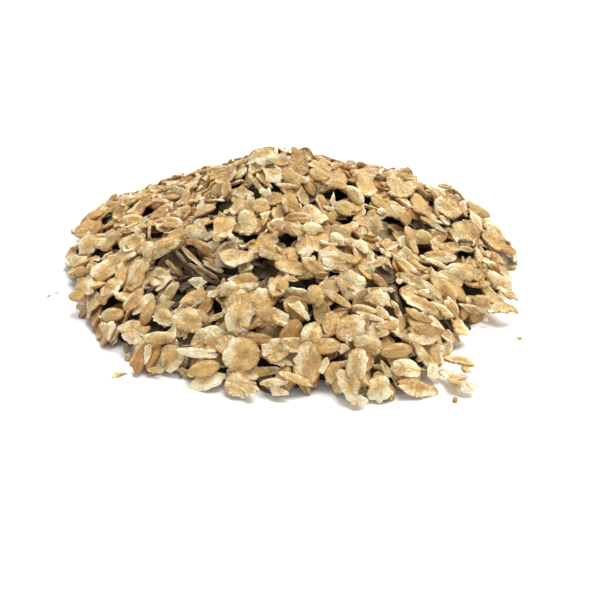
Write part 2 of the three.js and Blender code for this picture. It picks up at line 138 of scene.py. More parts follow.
# Flakes that stand out on the heap, the lower ones first.
STANDING_OUT = [Shown(*row) for row in (
    # left
    ("O", 94, 215, 8.0, 3.8, 14, 0.6, 0.25, None), ("S", 113, 206, 6.0, 4.2, 15, 0.6, 0.3, None),
    ("S", 119, 214, 5.5, 4.0, 70, 0.5, 0.5, None), ("O", 133, 221, 8.2, 4.4, -2, 0.9, 0.4, 90),
    ("S", 86, 227, 8.0, 4.6, 20, 0.9, 0.4, None), ("O", 82, 234, 6.8, 3.0, -3, 0.7, 0.3, None),
    ("O", 97, 228, 5.0, 3.0, 70, 0.5, 0.1, None), ("W", 88, 246, 7.4, 5.4, 35, 0.8, 0.7, -120),
    ("W", 110, 241, 8.4, 5.0, 30, 0.6, 0.5, 120), ("W", 133, 243, 8.0, 5.4, 30, 0.8, 0.8, -90),
    ("W", 78, 260, 8.6, 4.6, -5, 0.85, 0.8, 90), ("O", 80, 271, 5.0, 3.6, -20, 0.5, 0.2, None),
    ("W", 85, 287, 8.0, 5.4, -15, 0.9, 0.7, 0), ("O", 76, 296, 6.5, 3.4, 0, 0.6, 0.2, None),
    ("W", 107, 268, 10.0, 6.0, 35, 0.8, 0.6, 150), ("B", 113, 288, 7.5, 5.0, 55, 0.6, 0.9, None),
    ("S", 138, 272, 8.5, 5.6, 55, 0.7, 0.6, 150), ("B", 163, 275, 6.5, 4.0, -8, 0.8, 0.9, -90),
    # upper left
    ("S", 186, 180, 5.0, 2.8, 10, 0.0, 0.0, None), ("L", 175, 186, 9.0, 2.0, 18, 0.1, 0.3, None),
    ("L", 162, 190, 8.0, 1.6, 15, 0.4, 0.5, None), ("L", 160, 200, 6.0, 1.6, -5, 1.0, 1.2, None),
    ("S", 165, 208, 5.6, 3.6, 0, 0.5, 0.2, None), ("O", 186, 210, 3.6, 3.0, 0, 0.9, 0.5, None),
    ("S", 172, 222, 7.0, 4.5, -10, 0.6, 0.4, 0), ("W", 195, 231, 7.0, 5.0, -15, 0.85, 0.8, -90),
    ("L", 217, 170, 10.0, 1.8, 8, 0.5, 0.7, None), ("S", 226, 188, 6.0, 3.0, 85, 0.6, 0.2, None),
    ("B", 243, 192, 6.0, 4.0, -10, 0.9, 0.9, None), ("S", 262, 206, 5.6, 5.0, 0, 0.9, 0.5, None),
    # middle left
    ("L", 173, 268, 6.0, 1.3, -50, 0.1, 0.2, None), ("L", 223, 276, 7.5, 1.5, -14, 0.0, 0.3, None),
    ("L", 183, 261, 8.0, 1.3, -52, 0.1, 0.5, None), ("L", 208, 279, 7.0, 1.8, -13, 0.5, 0.9, None),
    ("L", 189, 270, 7.0, 1.4, -46, 0.0, 0.4, None), ("L", 213, 267, 7.4, 1.7, -27, 0.3, 0.6, None),
    ("L", 199, 271, 8.0, 1.4, -38, 0.1, 0.5, None), ("L", 208, 273, 7.6, 1.3, -32, 0.0, 0.3, None),
    ("S", 206, 249, 9.4, 3.0, -32, 0.4, 0.4, None), ("L", 194, 259, 9.6, 1.4, -42, 0.3, 0.8, None),
    ("B", 209, 260, 4.6, 2.0, -38, 0.4, 0.5, None),
    ("S", 162, 247, 12.0, 4.6, 27, 0.6, 0.45, -60), ("W", 238, 257, 10.5, 6.4, 0, 0.85, 0.9, -90),
    ("B", 224, 234, 6.5, 3.6, -22, 0.9, 1.2, -90), ("W", 248, 222, 7.5, 6.0, -70, 0.9, 1.0, 180),
    ("B", 196, 285, 7.0, 5.0, -20, 0.7, 1.2, None),
    ("S", 246, 282, 7.6, 5.4, 10, 0.8, 0.5, -45), ("S", 239, 300, 6.5, 5.8, 0, 0.7, 0.3, None),
    ("B", 227, 288, 6.2, 4.6, -45, 0.9, 1.1, 45), ("P", 215, 293, 4.6, 3.0, 40, 1.0, 1.2, None),
    ("L", 163, 284, 6.0, 1.8, 48, 1.0, 1.2, None), ("O", 169, 293, 8.4, 3.6, 52, 0.65, 0.4, 150),
    ("S", 193, 298, 8.0, 4.0, 22, 0.6, 0.3, None),
    # middle
    ("S", 298, 217, 8.0, 3.4, 2, 0.6, 0.2, None), ("O", 290, 203, 7.4, 4.8, -75, 0.5, 0.3, 180),
    ("B", 314, 228, 7.5, 4.5, 5, 1.0, 1.2, 90), ("P", 299, 225, 2.6, 1.6, -10, 1.0, 1.4, None),
    ("S", 287, 228, 9.8, 3.8, -20, 0.1, 0.0, None), ("S", 274, 252, 8.6, 5.0, -20, 0.6, 0.5, -130),
    ("B", 305, 246, 6.5, 5.5, 30, 0.9, 1.0, -45), ("S", 292, 267, 9.4, 4.6, -15, 0.8, 0.5, -90),
    ("O", 314, 267, 8.2, 3.9, -38, 0.85, 0.3, None), ("B", 334, 239, 9.0, 4.0, -25, 0.8, 1.0, 60),
    ("W", 340, 260, 10.6, 6.4, -10, 0.8, 0.7, 150), ("L", 291, 279, 4.5, 1.5, -12, 1.0, 1.0, None),
    ("W", 350, 285, 9.2, 7.6, 80, 0.75, 0.75, 0), ("L", 281, 287, 5.0, 2.2, -50, 0.6, 0.7, None),
    ("S", 316, 296, 6.2, 4.8, -70, 0.85, 0.35, None), ("L", 338, 299, 9.6, 2.4, -34, 0.8, 0.8, None),
    ("B", 299, 310, 9.0, 6.2, -50, 0.9, 1.1, 60),
    # top
    ("W", 262, 157, 10.0, 5.6, 10, 0.85, 0.8, -90), ("B", 278, 160, 7.5, 4.0, -5, 0.85, 0.9, 90),
    ("O", 297, 154, 5.2, 3.0, -58, 0.2, 0.1, None), ("B", 272, 174, 7.0, 5.0, -35, 0.9, 1.0, -90),
    ("S", 292, 177, 7.4, 5.0, -50, 0.7, 0.2, None), ("L", 288, 186, 7.0, 1.5, -8, 1.0, 0.9, None),
    ("L", 256, 183, 9.0, 1.5, -52, 0.4, 0.6, None), ("L", 264, 179, 7.0, 1.8, -42, 0.6, 0.7, None),
    ("P", 264, 192, 3.4, 2.4, -30, 1.0, 1.4, None), ("L", 322, 161, 7.0, 2.0, -25, 0.9, 0.8, None),
    ("S", 320, 174, 7.0, 4.0, -25, 0.85, 0.4, None), ("S", 337, 184, 7.5, 3.8, -12, 0.7, 0.3, None),
    ("W", 365, 173, 8.6, 5.0, 0, 0.95, 0.8, -90), ("S", 400, 173, 7.4, 3.8, 0, 0.8, 0.3, None),
    ("S", 322, 202, 6.2, 3.0, -80, 0.4, 0.5, 180), ("P", 333, 199, 5.0, 2.4, 85, 1.0, 1.3, None),
    ("S", 346, 208, 6.8, 4.6, -20, 0.8, 0.2, None), ("S", 355, 194, 8.2, 4.2, -52, 0.6, 0.7, 40),
    ("O", 378, 201, 5.6, 3.8, -60, 0.8, 0.2, None), ("L", 398, 212, 7.0, 1.8, -50, 1.0, 1.3, None),
    # upper right
    ("W", 448, 207, 9.4, 6.6, -20, 0.85, 0.6, 150), ("L", 424, 212, 9.0, 1.4, -24, 0.7, 0.7, None),
    ("L", 428, 216, 9.6, 1.3, -24, 0.7, 0.7, None), ("L", 433, 224, 9.0, 1.5, -30, 0.7, 0.9, None),
    ("S", 479, 209, 9.2, 4.4, -28, 0.9, 0.5, None), ("W", 496, 232, 8.0, 5.0, -45, 0.8, 0.8, 60),
    ("W", 466, 233, 9.4, 7.6, -60, 0.75, 0.4, -110), ("L", 466, 249, 6.0, 1.6, -14, 1.0, 1.2, None),
    # right
    ("S", 424, 237, 6.0, 4.6, -30, 0.9, 0.2, None), ("B", 439, 241, 6.5, 4.8, -50, 0.9, 0.9, 150),
    ("O", 507, 249, 8.0, 3.6, -12, 0.5, 0.2, None), ("L", 510, 262, 4.5, 1.4, -3, 1.0, 0.9, None),
    ("B", 494, 258, 8.0, 3.5, -25, 0.8, 0.5, None), ("B", 492, 266, 7.5, 3.0, -28, 0.6, 0.5, None),
    ("S", 441, 256, 9.8, 4.0, -3, 0.8, 0.6, -90), ("L", 437, 264, 7.5, 1.7, -24, 0.9, 1.0, None),
    ("W", 463, 270, 9.0, 5.0, -12, 0.9, 0.9, 180), ("W", 498, 281, 9.2, 4.8, -32, 0.9, 0.8, None),
    ("B", 508, 293, 8.0, 4.0, -20, 0.9, 0.8, None), ("B", 488, 290, 9.0, 4.0, -50, 0.8, 0.6, None),
    ("S", 445, 287, 9.4, 4.8, -35, 0.9, 0.2, None), ("S", 475, 303, 7.0, 4.2, -30, 0.7, 0.4, None),
    ("W", 486, 303, 8.6, 5.0, -20, 0.8, 0.7, None), ("B", 496, 299, 7.5, 4.2, -30, 0.8, 0.6, None),
    ("W", 503, 307, 8.4, 4.8, -8, 0.8, 0.8, None),
    # middle right
    ("S", 375, 225, 6.0, 5.0, -80, 0.75, 0.3, None), ("S", 410, 237, 8.2, 2.8, -80, 0.5, 0.3, None),
    ("B", 387, 247, 7.0, 4.6, 28, 0.7, 0.8, -60), ("P", 361, 246, 6.0, 3.0, -40, 1.0, 1.3, None),
    ("B", 406, 254, 5.5, 4.5, 0, 0.7, 0.9, None), ("L", 405, 264, 9.2, 2.0, -38, 0.8, 0.8, None),
    ("L", 374, 264, 9.8, 2.2, 18, 0.8, 0.7, None), ("S", 381, 282, 7.0, 2.6, -40, 0.1, 0.1, None),
    ("P", 391, 290, 2.6, 1.6, -20, 1.0, 1.3, None), ("P", 400, 283, 2.6, 2.2, 0, 1.0, 1.3, None),
    ("S", 413, 281, 8.8, 3.4, -32, 0.8, 0.8, None), ("B", 418, 293, 7.5, 3.6, -8, 1.0, 1.2, 90),
    ("L", 433, 291, 8.8, 2.0, -40, 1.0, 1.2, None), ("W", 375, 297, 6.5, 4.5, 5, 0.7, 0.5, None),
    ("L", 397, 310, 6.0, 1.8, -65, 0.8, 0.8, None), ("S", 364, 310, 7.2, 2.8, -6, 0.6, 0.3, None),
    ("P", 382, 313, 4.8, 2.6, -42, 1.0, 1.2, None), ("L", 371, 317, 8.4, 1.7, -15, 1.0, 1.2, None),
    ("S", 425, 306, 9.2, 3.6, -28, 0.7, 0.4, None), ("L", 418, 316, 8.8, 2.6, -26, 0.6, 0.5, None),
    ("B", 441, 309, 8.8, 3.4, -36, 0.7, 0.8, None), ("S", 452, 307, 6.6, 3.8, -60, 0.8, 0.3, None),
    ("L", 471, 309, 8.0, 2.4, -22, 0.3, 0.4, None), ("S", 387, 326, 6.4, 2.8, 5, 0.7, 0.2, None),
    ("L", 381, 334, 5.6, 1.6, 18, 0.8, 0.7, None), ("L", 404, 337, 5.6, 1.5, -36, 0.7, 0.7, None),
    # front left
    ("B", 107, 330, 6.0, 5.5, 90, 0.6, 0.9, None), ("S", 112, 315, 7.8, 4.0, 8, 0.65, 0.3, None),
    ("W", 133, 332, 8.2, 6.6, -10, 0.7, 0.9, -100), ("L", 143, 304, 8.2, 3.4, 48, 1.0, 1.3, None),
    ("O", 148, 312, 7.8, 3.7, 66, 0.55, 0.15, None), ("W", 163, 318, 6.5, 5.5, -20, 0.7, 0.8, None),
    ("S", 188, 320, 9.2, 6.8, -5, 0.8, 0.45, 150), ("S", 160, 338, 9.4, 3.6, 3, 0.7, 0.2, None),
    ("W", 172, 358, 7.4, 6.6, 10, 0.6, 0.6, -60), ("P", 148, 354, 5.0, 2.8, 95, 1.0, 1.1, None),
    ("O", 138, 363, 6.4, 3.2, 88, 0.0, 0.0, None), ("L", 156, 370, 5.0, 1.8, 4, 0.7, 0.6, None),
    ("L", 197, 353, 11.4, 2.6, -8, 1.0, 1.3, -90), ("W", 206, 381, 9.8, 5.2, 14, 0.8, 1.1, -90),
    ("O", 204, 369, 9.2, 4.6, 12, 0.95, 0.1, None), ("B", 213, 338, 8.4, 5.4, -10, 0.7, 0.85, None),
    # front middle
    ("W", 239, 315, 10.4, 6.8, 80, 0.8, 0.7, -90), ("S", 272, 315, 9.2, 4.4, -12, 0.5, 0.35, None),
    ("S", 262, 336, 9.0, 3.4, -8, 0.45, 0.2, None), ("W", 275, 350, 7.2, 6.4, 0, 0.45, 0.7, None),
    ("L", 264, 367, 10.8, 2.6, 8, 0.5, 0.5, None), ("W", 240, 386, 8.8, 6.4, -25, 0.7, 0.7, -45),
    ("S", 241, 355, 10.4, 9.2, 20, 0.75, 0.3, 150), ("L", 273, 383, 7.4, 2.4, 2, 0.8, 0.9, None),
    ("B", 275, 391, 6.6, 3.2, -10, 0.9, 1.2, -90), ("P", 250, 391, 4.5, 3.0, 10, 0.6, 0.8, None),
    ("L", 297, 379, 10.6, 2.3, -22, 0.8, 0.8, None), ("S", 312, 336, 8.0, 6.0, 60, 0.7, 0.5, None),
    ("S", 326, 346, 7.8, 4.6, 5, 0.6, 0.2, None), ("W", 309, 363, 11.4, 7.4, 84, 0.55, 0.35, 180),
    ("S", 331, 323, 7.4, 5.4, 82, 0.7, 0.2, None), ("S", 351, 328, 8.4, 7.4, 10, 0.75, 0.45, -10),
    ("P", 345, 348, 4.2, 3.4, 30, 1.0, 1.0, None), ("S", 333, 373, 6.2, 4.6, 75, 0.65, 0.3, None),
    ("B", 326, 365, 5.4, 2.9, 60, 1.0, 1.3, None),
    # front right
    ("S", 368, 345, 7.8, 5.4, -10, 0.5, 0.7, None), ("B", 350, 384, 9.6, 6.0, -42, 0.6, 0.6, -140),
    ("W", 357, 364, 8.2, 5.8, 80, 0.7, 0.9, 0), ("P", 358, 399, 5.2, 3.0, 5, 1.0, 1.2, None),
    ("W", 381, 386, 7.4, 6.8, 70, 0.75, 0.8, -80), ("L", 386, 369, 5.4, 2.0, -58, 0.6, 0.4, None),
    ("O", 396, 351, 8.8, 4.2, 8, 0.5, 0.3, None), ("W", 405, 368, 8.6, 5.0, -2, 0.7, 0.8, 10),
    ("W", 416, 387, 12.4, 5.0, -12, 0.6, 0.8, -95), ("S", 437, 356, 6.0, 3.4, -68, 0.6, 0.3, None),
    ("W", 426, 335, 11.6, 5.4, -6, 0.6, 0.75, -100), ("L", 424, 356, 11.0, 2.8, -50, 0.8, 0.8, None),
    ("P", 433, 371, 4.8, 4.0, -50, 1.0, 1.2, None),
)]
TURN_TO_VIEW = 0.6  # share by which they face the camera rather than lie on the slope
CREST_MISS = 5.0  # a ray that passes over the heap by less than this meets its crest

# Flakes and crumbs that lie on the floor.
BESIDE = [Shown(*row) for row in (
    ("W", 461, 328, 6.4, 5.6, 0, 0.9, 1.0, None), ("L", 459, 360, 9.4, 3.4, -12, 0.7, 0.8, None),
    ("B", 455, 377, 10.4, 5.2, -28, 0.7, 0.7, None), ("B", 462, 385, 7.4, 4.4, -15, 0.8, 0.8, None),
    ("P", 468, 372, 4.0, 2.6, -15, 0.9, 1.0, None), ("L", 118, 375, 5.0, 1.6, 18, 1.0, 1.2, None),
    ("O", 445, 186, 5.8, 3.2, -18, 0.7, 0.5, None), ("P", 128, 357, 2.6, 2.2, 0, 0.6, 0.6, None),
    ("P", 57, 293, 1.8, 1.4, 0, 1.0, 1.3, None), ("P", 49, 296, 1.3, 1.0, 40, 1.0, 1.2, None),
    ("P", 519, 338, 2.0, 1.2, 0, 1.0, 1.2, None), ("O", 455, 399, 1.7, 1.4, 80, 0.6, 0.6, None),
    ("P", 486, 321, 1.8, 1.2, 0, 0.5, 0.9, None), ("P", 513, 262, 3.4, 1.4, -3, 1.0, 1.0, None),
)]
LOOSE_SPOKES = 24

CORE_DEPTH = 5.0  # how far the core lies under the flakes' top
CORE_INSET = 0.94  # share of the way to the foot at which the core stops
CORE_SPOKES = 96
CORE_RINGS = 30
CORE_ROUGH = 0.35  # spread of the core's unevenness
CORE_LOWEST = 0.3  # height of its top at least
CORE_UNDERSIDE = 0.05

# ---- the flakes ----

# Each kind of flake. share: of all flakes. length; slim: width as a share of length; thick: at the
# middle; edge: thickness there as a share of that. curl, cup and twist: how far it bends along,
# across and askew. blunt: the power of its oval; taper and point: how it narrows. lobes, ragged and
# notches: of its outline; torn: how much of its edge; crease: depth of its groove; crumple: height
# of its folds; chord: how far out its broken side lies. tone, pale and cracks: of its skin.
# spokes: round each of its rings. Sizes are in millimetres.
KINDS = {
    "wide_flakes": dict(
        share=0.21, length=(6.8, 10.8), slim=(0.6, 0.86), thick=(0.7, 1.05), edge=(0.7, 0.95),
        curl=(-0.6, 1.3), cup=(-0.5, 1.0), twist=(-0.8, 0.8), blunt=(1.8, 2.7), taper=(-0.25, 0.25),
        point=(0.0, 0.2), lobes=0.07, ragged=0.03, notches=1, torn=(0.3, 0.9), crease=(0.0, 0.2),
        crumple=(0.14, 0.36), chord=(0.6, 1.6), tone=(0.25, 1.0), pale=(0.15, 0.85), cracks=(0.4, 1.0),
        spokes=30,
    ),
    "smooth_flakes": dict(
        share=0.18, length=(6.2, 9.2), slim=(0.56, 0.8), thick=(0.8, 1.2), edge=(0.55, 0.8),
        curl=(-0.2, 1.1), cup=(0.1, 1.0), twist=(-0.5, 0.5), blunt=(1.9, 2.5), taper=(-0.22, 0.22),
        point=(0.0, 0.25), lobes=0.04, ragged=0.015, notches=1, torn=(0.0, 0.75), crease=(0.0, 0.45),
        crumple=(0.08, 0.26), chord=(1.1, 2.2), tone=(0.2, 1.0), pale=(0.0, 0.5), cracks=(0.1, 0.7),
        spokes=26,
    ),
    "oval_grains": dict(
        share=0.12, length=(6.0, 8.4), slim=(0.42, 0.58), thick=(1.2, 1.8), edge=(0.25, 0.5),
        curl=(-0.1, 0.6), cup=(0.0, 0.5), twist=(-0.2, 0.2), blunt=(1.9, 2.2), taper=(-0.15, 0.15),
        point=(0.0, 0.25), lobes=0.02, ragged=0.01, notches=0, torn=(0.0, 0.4), crease=(0.2, 0.5),
        crumple=(0.03, 0.12), chord=(1.4, 2.4), tone=(0.1, 0.9), pale=(0.0, 0.3), cracks=(0.0, 0.4),
        spokes=22,
    ),
    "broken_flakes": dict(
        share=0.2, length=(5.6, 9.8), slim=(0.42, 0.75), thick=(0.65, 1.05), edge=(0.75, 1.0),
        curl=(-0.6, 1.1), cup=(-0.4, 0.8), twist=(-0.8, 0.8), blunt=(1.8, 3.0), taper=(-0.35, 0.35),
        point=(0.0, 0.3), lobes=0.08, ragged=0.035, notches=2, torn=(0.4, 1.0), crease=(0.0, 0.2),
        crumple=(0.12, 0.32), chord=(0.25, 0.75), tone=(0.25, 1.0), pale=(0.35, 1.1), cracks=(0.35, 1.0),
        spokes=26,
    ),
    "slivers": dict(
        share=0.14, length=(5.5, 10.5), slim=(0.2, 0.36), thick=(0.7, 1.1), edge=(0.7, 1.0),
        curl=(-0.8, 1.2), cup=(0.0, 0.2), twist=(-0.4, 0.4), blunt=(2.0, 3.2), taper=(-0.35, 0.35),
        point=(0.0, 0.4), lobes=0.06, ragged=0.03, notches=1, torn=(0.2, 1.0), crease=(0.0, 0.1),
        crumple=(0.05, 0.25), chord=(0.6, 2.0), tone=(0.1, 1.0), pale=(0.1, 1.1), cracks=(0.2, 0.8),
        spokes=20,
    ),
    "pale_bits": dict(
        share=0.15, length=(2.4, 5.6), slim=(0.5, 0.85), thick=(0.6, 1.1), edge=(0.6, 0.95),
        curl=(-0.3, 0.4), cup=(-0.2, 0.3), twist=(-0.3, 0.3), blunt=(1.8, 2.8), taper=(-0.3, 0.3),
        point=(0.0, 0.2), lobes=0.1, ragged=0.04, notches=1, torn=(0.5, 1.0), crease=(0.0, 0.1),
        crumple=(0.05, 0.15), chord=(0.3, 1.0), tone=(0.4, 1.0), pale=(0.7, 1.3), cracks=(0.3, 1.0),
        spokes=16,
    ),
}
RANGED = (
    "length", "slim", "thick", "edge", "curl", "cup", "twist", "blunt", "taper", "point", "torn",
    "crease", "crumple", "chord", "tone", "pale", "cracks")
WAVES = np.arange(2, 16)  # lobes and teeth counted round a flake's edge
SLOW_WAVES = 6  # fewer waves than this are lobes, and the others teeth
LOBE_WAVE, TOOTH_WAVE = 2, 7  # the waves at which lobes and teeth have their whole size
LOBE_RANGE = (0.2, 1.4)
TOOTH_RANGE = (0.1, 1.5)
SOUND_TEETH = 0.2  # share of the teeth's size where the edge isn't torn
MOST_NOTCHES = 2
NOTCH_SCATTER = 0.7  # about the torn side, in radians
NOTCH_DEEP = (0.08, 0.34)
NOTCH_WIDE = (0.14, 0.34)  # in radians
CHORD_TURN = (1.2, 2.6)  # from the first broken side to the second, in radians
SECOND_CHORD = (0.9, 2.6)  # how much further out the second lies
FOLDS = 3
FOLD_LONG = (3.5, 8.0)
SEED_SPAN = 900  # of the numbers that tell the flakes' patterns apart
# How torn the edge is: it grows with torn and towards the torn side, less a start.
TORN_GAIN, TORN_SIDE, TORN_START = 1.5, 0.8, 0.55
WORN = 0.35  # share by which the torn edge is thinner
PLATE_POWER = 2.2  # of the share from middle to edge, by which a flake thins
GROOVE_WIDTH = 0.5
GROOVE_DARK = 2.0  # how dark the groove shows for its depth
# Rings of points on a flake's top and underside, as shares from its middle to its edge.
TOP_RINGS = (0.0, 0.3, 0.58, 0.82, 0.96)
UNDER_RINGS = (0.94, 0.55, 0.0)
RINGS_ON_TOP = len(TOP_RINGS) - 1  # the ring of the rim comes next
ALL_RINGS = RINGS_ON_TOP + len(UNDER_RINGS)

# ---- how flakes come to lie ----

FLAKE_COUNT = 3800
CELL = 0.7  # of the height map that flakes come to rest on
MAP_REACH = 100.0  # half of the map's side
HEAP_REACH = 0.96  # share of the way to the foot up to which flakes are laid
TOUCH_RINGS = (0.3, 0.65, 0.98)  # of the points by which a flake comes to rest
TOUCH_SPOKES = 16
COVER_RINGS = (0.0, 0.12, 0.25, 0.38, 0.5, 0.62, 0.75, 0.87, 0.98)  # of those by which it covers others
COVER_SPOKES = 36
STEEPEST = 0.45  # slope by which a flake tips at most when it settles
TUCK = 88  # share of a flake's points, in percent, that stay above what it lands on
DEEPEST_TUCK = 1.1  # of any of its points
LEVEL_PULL = 1.0  # added to the sums of squares, so that a narrow flake doesn't tip right over
FULL_SHADE_DEPTH = 5.0  # depth under the heap's surface at which a flake is painted fully with shade

RIM_COUNT = 150  # flakes laid along the foot before the others
RIM_STEP = 0.618034  # share of a turn from one flake of the foot to the next
RIM_JITTER = 0.02
RIM_BAND = (0.82, 0.95)  # shares of the way to the foot
PLACES_DRAWN = 60  # of which the one with the most room is taken
LEAST_ROOM = 0.55
PASSED_CELLS = 2  # on each side of a place where nothing fits
TURNS_DRAWN = 5
LEAN_SPREAD = 0.24  # in radians off the slope
PROPPED = 0.2  # share of flakes that stand on edge between the others
PROPPED_LEAN = (0.45, 1.25)  # in radians off the slope
PROPPED_SINK = (0.8, 2.0)
FLAT_SINK = 0.1
SETTLING = (0.4, 1.0)  # share by which a flake tips onto what lies under it
SLID = 0.6  # share of flakes that point down the slope, within a spread
SLID_SPREAD = math.radians(32)
UPSIDE_DOWN = 0.5  # share of flakes
LARGEST_GAP = 2.4  # mean gap under a flake; a turn that stands further off is dropped
HIGHEST_OVER = 0.8  # above the heap's surface
OPEN_DEPTH = 3.0  # a flake deeper than this may show in a hollow
BURIED = 1.0  # a point with more than this laid over it is out of sight
LEAST_SEEN = 0.03  # share of a flake's points

# How a flake that shows in the picture is laid.
SEEN_STEPS = 6
SEEN_STEP = 0.45  # share of the way to its resting height that a shown flake moves in a step
SEEN_SINK = 0.35  # share of the mean gap under it by which it sinks in
SEEN_SINK_MOST = 1.4
# Height by which it may miss its ray. A ray that ends further than this above the heap runs over
# the crest.
SEEN_LEEWAY = 0.5
SEEN_WOBBLE = 0.08
SEEN_TORN = 0.55  # how torn a flake with a torn side is at least
SEEN_DEEPEST = 0.7  # share of the painted shade that it gets at most
LYING_BELOW = 0.5  # a flake that rests lower than this lies level
TURN_LOW = 0.25  # share of the turn to the camera at the floor
TURN_RISE = 12.0  # in which that share grows by 1

LOWEST_POINT = 0.02  # height of a flake's points above the floor at least
ISLAND_REACH = 0.47  # of a flake's face in its square of the map, whose middle is at a half

# ---- the stage, in metres ----

# The floor is flat near the heap and rises a little from there to its edge, so that the edge
# doesn't show in a view from low down.
FLOOR_FLAT_REACH = 5.0
FLOOR_REACH = 40.0
FLOOR_RISE = 3.5
KEY_ANGLE = math.radians(45)
KEY_TURN = (math.radians(-18), math.radians(15), 0)
SENSOR_WIDTH = 36.0  # in millimetres
CLIP_START, CLIP_END = 0.01, 100.0


def linear(red, green, blue):
    """Linear light of an sRGB colour given from 0 to 255: the usual power curve with its short
    straight start."""
    def channel(value):
        value /= 255
        return value / 12.92 if value <= 0.04045 else ((value + 0.055) / 1.055) ** 2.4
    return (channel(red), channel(green), channel(blue))


# ---- sizes and colours that a user would change ----


class WheatHeapSizes(bpy.types.PropertyGroup):
    """The heap's own sizes."""

    half_width: bpy.props.FloatProperty(
        name="Half width", description="From the heap's middle to its side", default=0.0695, unit="LENGTH")
    half_depth: bpy.props.FloatProperty(
        name="Half depth", description="From the heap's middle to its front", default=0.0695, unit="LENGTH")
    height: bpy.props.FloatProperty(
        name="Height", description="Of the plain dome, before its mounds", default=0.0253, unit="LENGTH")
    flakes: bpy.props.IntProperty(
        name="Flakes", description="How many flakes are laid on the heap", default=FLAKE_COUNT)


class WheatHeapColours(bpy.types.PropertyGroup):
    """The colours of the grain."""

    bran: bpy.props.FloatVectorProperty(
        name="Bran", description="The smooth golden skin of a flake", subtype="COLOR",
        default=linear(228, 190, 118))
    brown_bran: bpy.props.FloatVectorProperty(
        name="Brown bran", description="The darker skin", subtype="COLOR", default=linear(176, 126, 72))
    straw_bran: bpy.props.FloatVectorProperty(
        name="Straw bran", description="The duller skin of some flakes", subtype="COLOR",
        default=linear(186, 164, 114))
    light_bran: bpy.props.FloatVectorProperty(
        name="Light bran", description="The pale yellow skin round the golden part", subtype="COLOR",
        default=linear(242, 219, 164))
    cream: bpy.props.FloatVectorProperty(
        name="Cream", description="The floury inside, in the cracks and at the edges", subtype="COLOR",
        default=linear(251, 239, 206))
    dull_cream: bpy.props.FloatVectorProperty(
        name="Dull cream", description="The floury inside where it is thin", subtype="COLOR",
        default=linear(244, 222, 174))
    # painted shade: the colour that deep flakes are darkened towards, and the core's colour
    gap: bpy.props.FloatVectorProperty(
        name="Gap", description="The dark between and under the flakes", subtype="COLOR",
        default=linear(50, 46, 36))


class WheatHeapStage(bpy.types.PropertyGroup):
    """The floor and the light."""

    floor: bpy.props.FloatVectorProperty(
        name="Floor", description="The plain pale surface", subtype="COLOR", default=linear(254, 254, 254))
    sky: bpy.props.FloatProperty(
        name="Soft light", description="Strength of the even light from all round", default=0.53)
    sun: bpy.props.FloatProperty(
        name="Key light", description="Strength of the soft light from above", default=3.66)


# ---- the heap's surface ----


def foot_reach(angle):
    """How far the foot reaches in one direction, as a share of the plain ellipse: 1 plus a few
    waves round it, less the bites."""
    waves = sum(wave.cosine * np.cos(wave.count * angle) + wave.sine * np.sin(wave.count * angle)
                for wave in FOOT_WAVES)
    apart = lambda way: (np.degrees(angle) - way + 180) % 360 - 180
    bites = sum(bite.depth * np.exp(-((apart(bite.way) / bite.half_width) ** 2)) for bite in FOOT_BITES)
    return 1 + waves - bites


def bell(x, y, spread):
    """A round bell, 1 at its middle: e to the power of minus the squared distance over twice the
    squared spread."""
    return np.exp(-(x**2 + y**2) / (2 * spread**2))


class HeapForm:
    """The heap's outer surface, worked out from its named sizes."""

    def __init__(self, sizes):
        self.half_width = sizes.half_width / MM
        self.half_depth = sizes.half_depth / MM
        self.height = sizes.height / MM
        self.hollows = ()

    def point(self, angle, share):
        """The point at a share of the way from the heap's middle to its foot."""
        reach = foot_reach(angle) * share
        x = self.half_width * reach * np.cos(angle)
        return x, FOOT_MIDDLE_Y + self.half_depth * reach * np.sin(angle)

    def share(self, x, y):
        """The share of the way from the middle to the foot at which a point lies."""
        across, deep = x / self.half_width, (y - FOOT_MIDDLE_Y) / self.half_depth
        return np.hypot(across, deep) / foot_reach(np.arctan2(deep, across))

    def mounded(self, x, y):
        """Height of a dome, (1 - share^a)^b times its height, plus round mounds that fade at the
        foot."""
        share = np.minimum(self.share(x, y), 1)
        dome = self.height * (1 - share**SLOPE_POWER) ** BRIM_POWER
        mounds = sum(mound.rise * bell(x - mound.x, y - mound.y, MOUND_SPREAD) for mound in MOUNDS)
        return np.maximum(dome + mounds * (1 - share**MOUND_FADE), 0)

    def top(self, x, y):
        """Height of the flakes' top: the mounded dome less its dips."""
        dips = sum(dip.depth * bell(x - dip.x, y - dip.y, dip.spread) for dip in DIPS)
        return self.mounded(x, y) - dips

    def hollowed(self, x, y):
        """Height of the flakes' top with the open hollows taken out of it. Each has steep sides: e
        to the power of minus the fourth power of the distance over its reach."""
        depth = np.zeros_like(x)
        for hollow_x, hollow_y, reach in self.hollows:
            away = np.hypot(x - hollow_x, y - hollow_y) / reach
            depth = np.maximum(depth, HOLLOW_DEPTH * np.exp(-(away**4)))
        return np.maximum(self.top(x, y) - depth, 0)

    def normal(self, x, y, step=NORMAL_STEP):
        """The surface's upright direction, from its rise over a few millimetres."""
        slope_x = (self.top(x + step, y) - self.top(x - step, y)) / (2 * step)
        slope_y = (self.top(x, y + step) - self.top(x, y - step)) / (2 * step)
        return unit(np.array([-slope_x, -slope_y, 1.0]))


def unit(vector):
    """A vector over its length."""
    return vector / np.linalg.norm(vector)


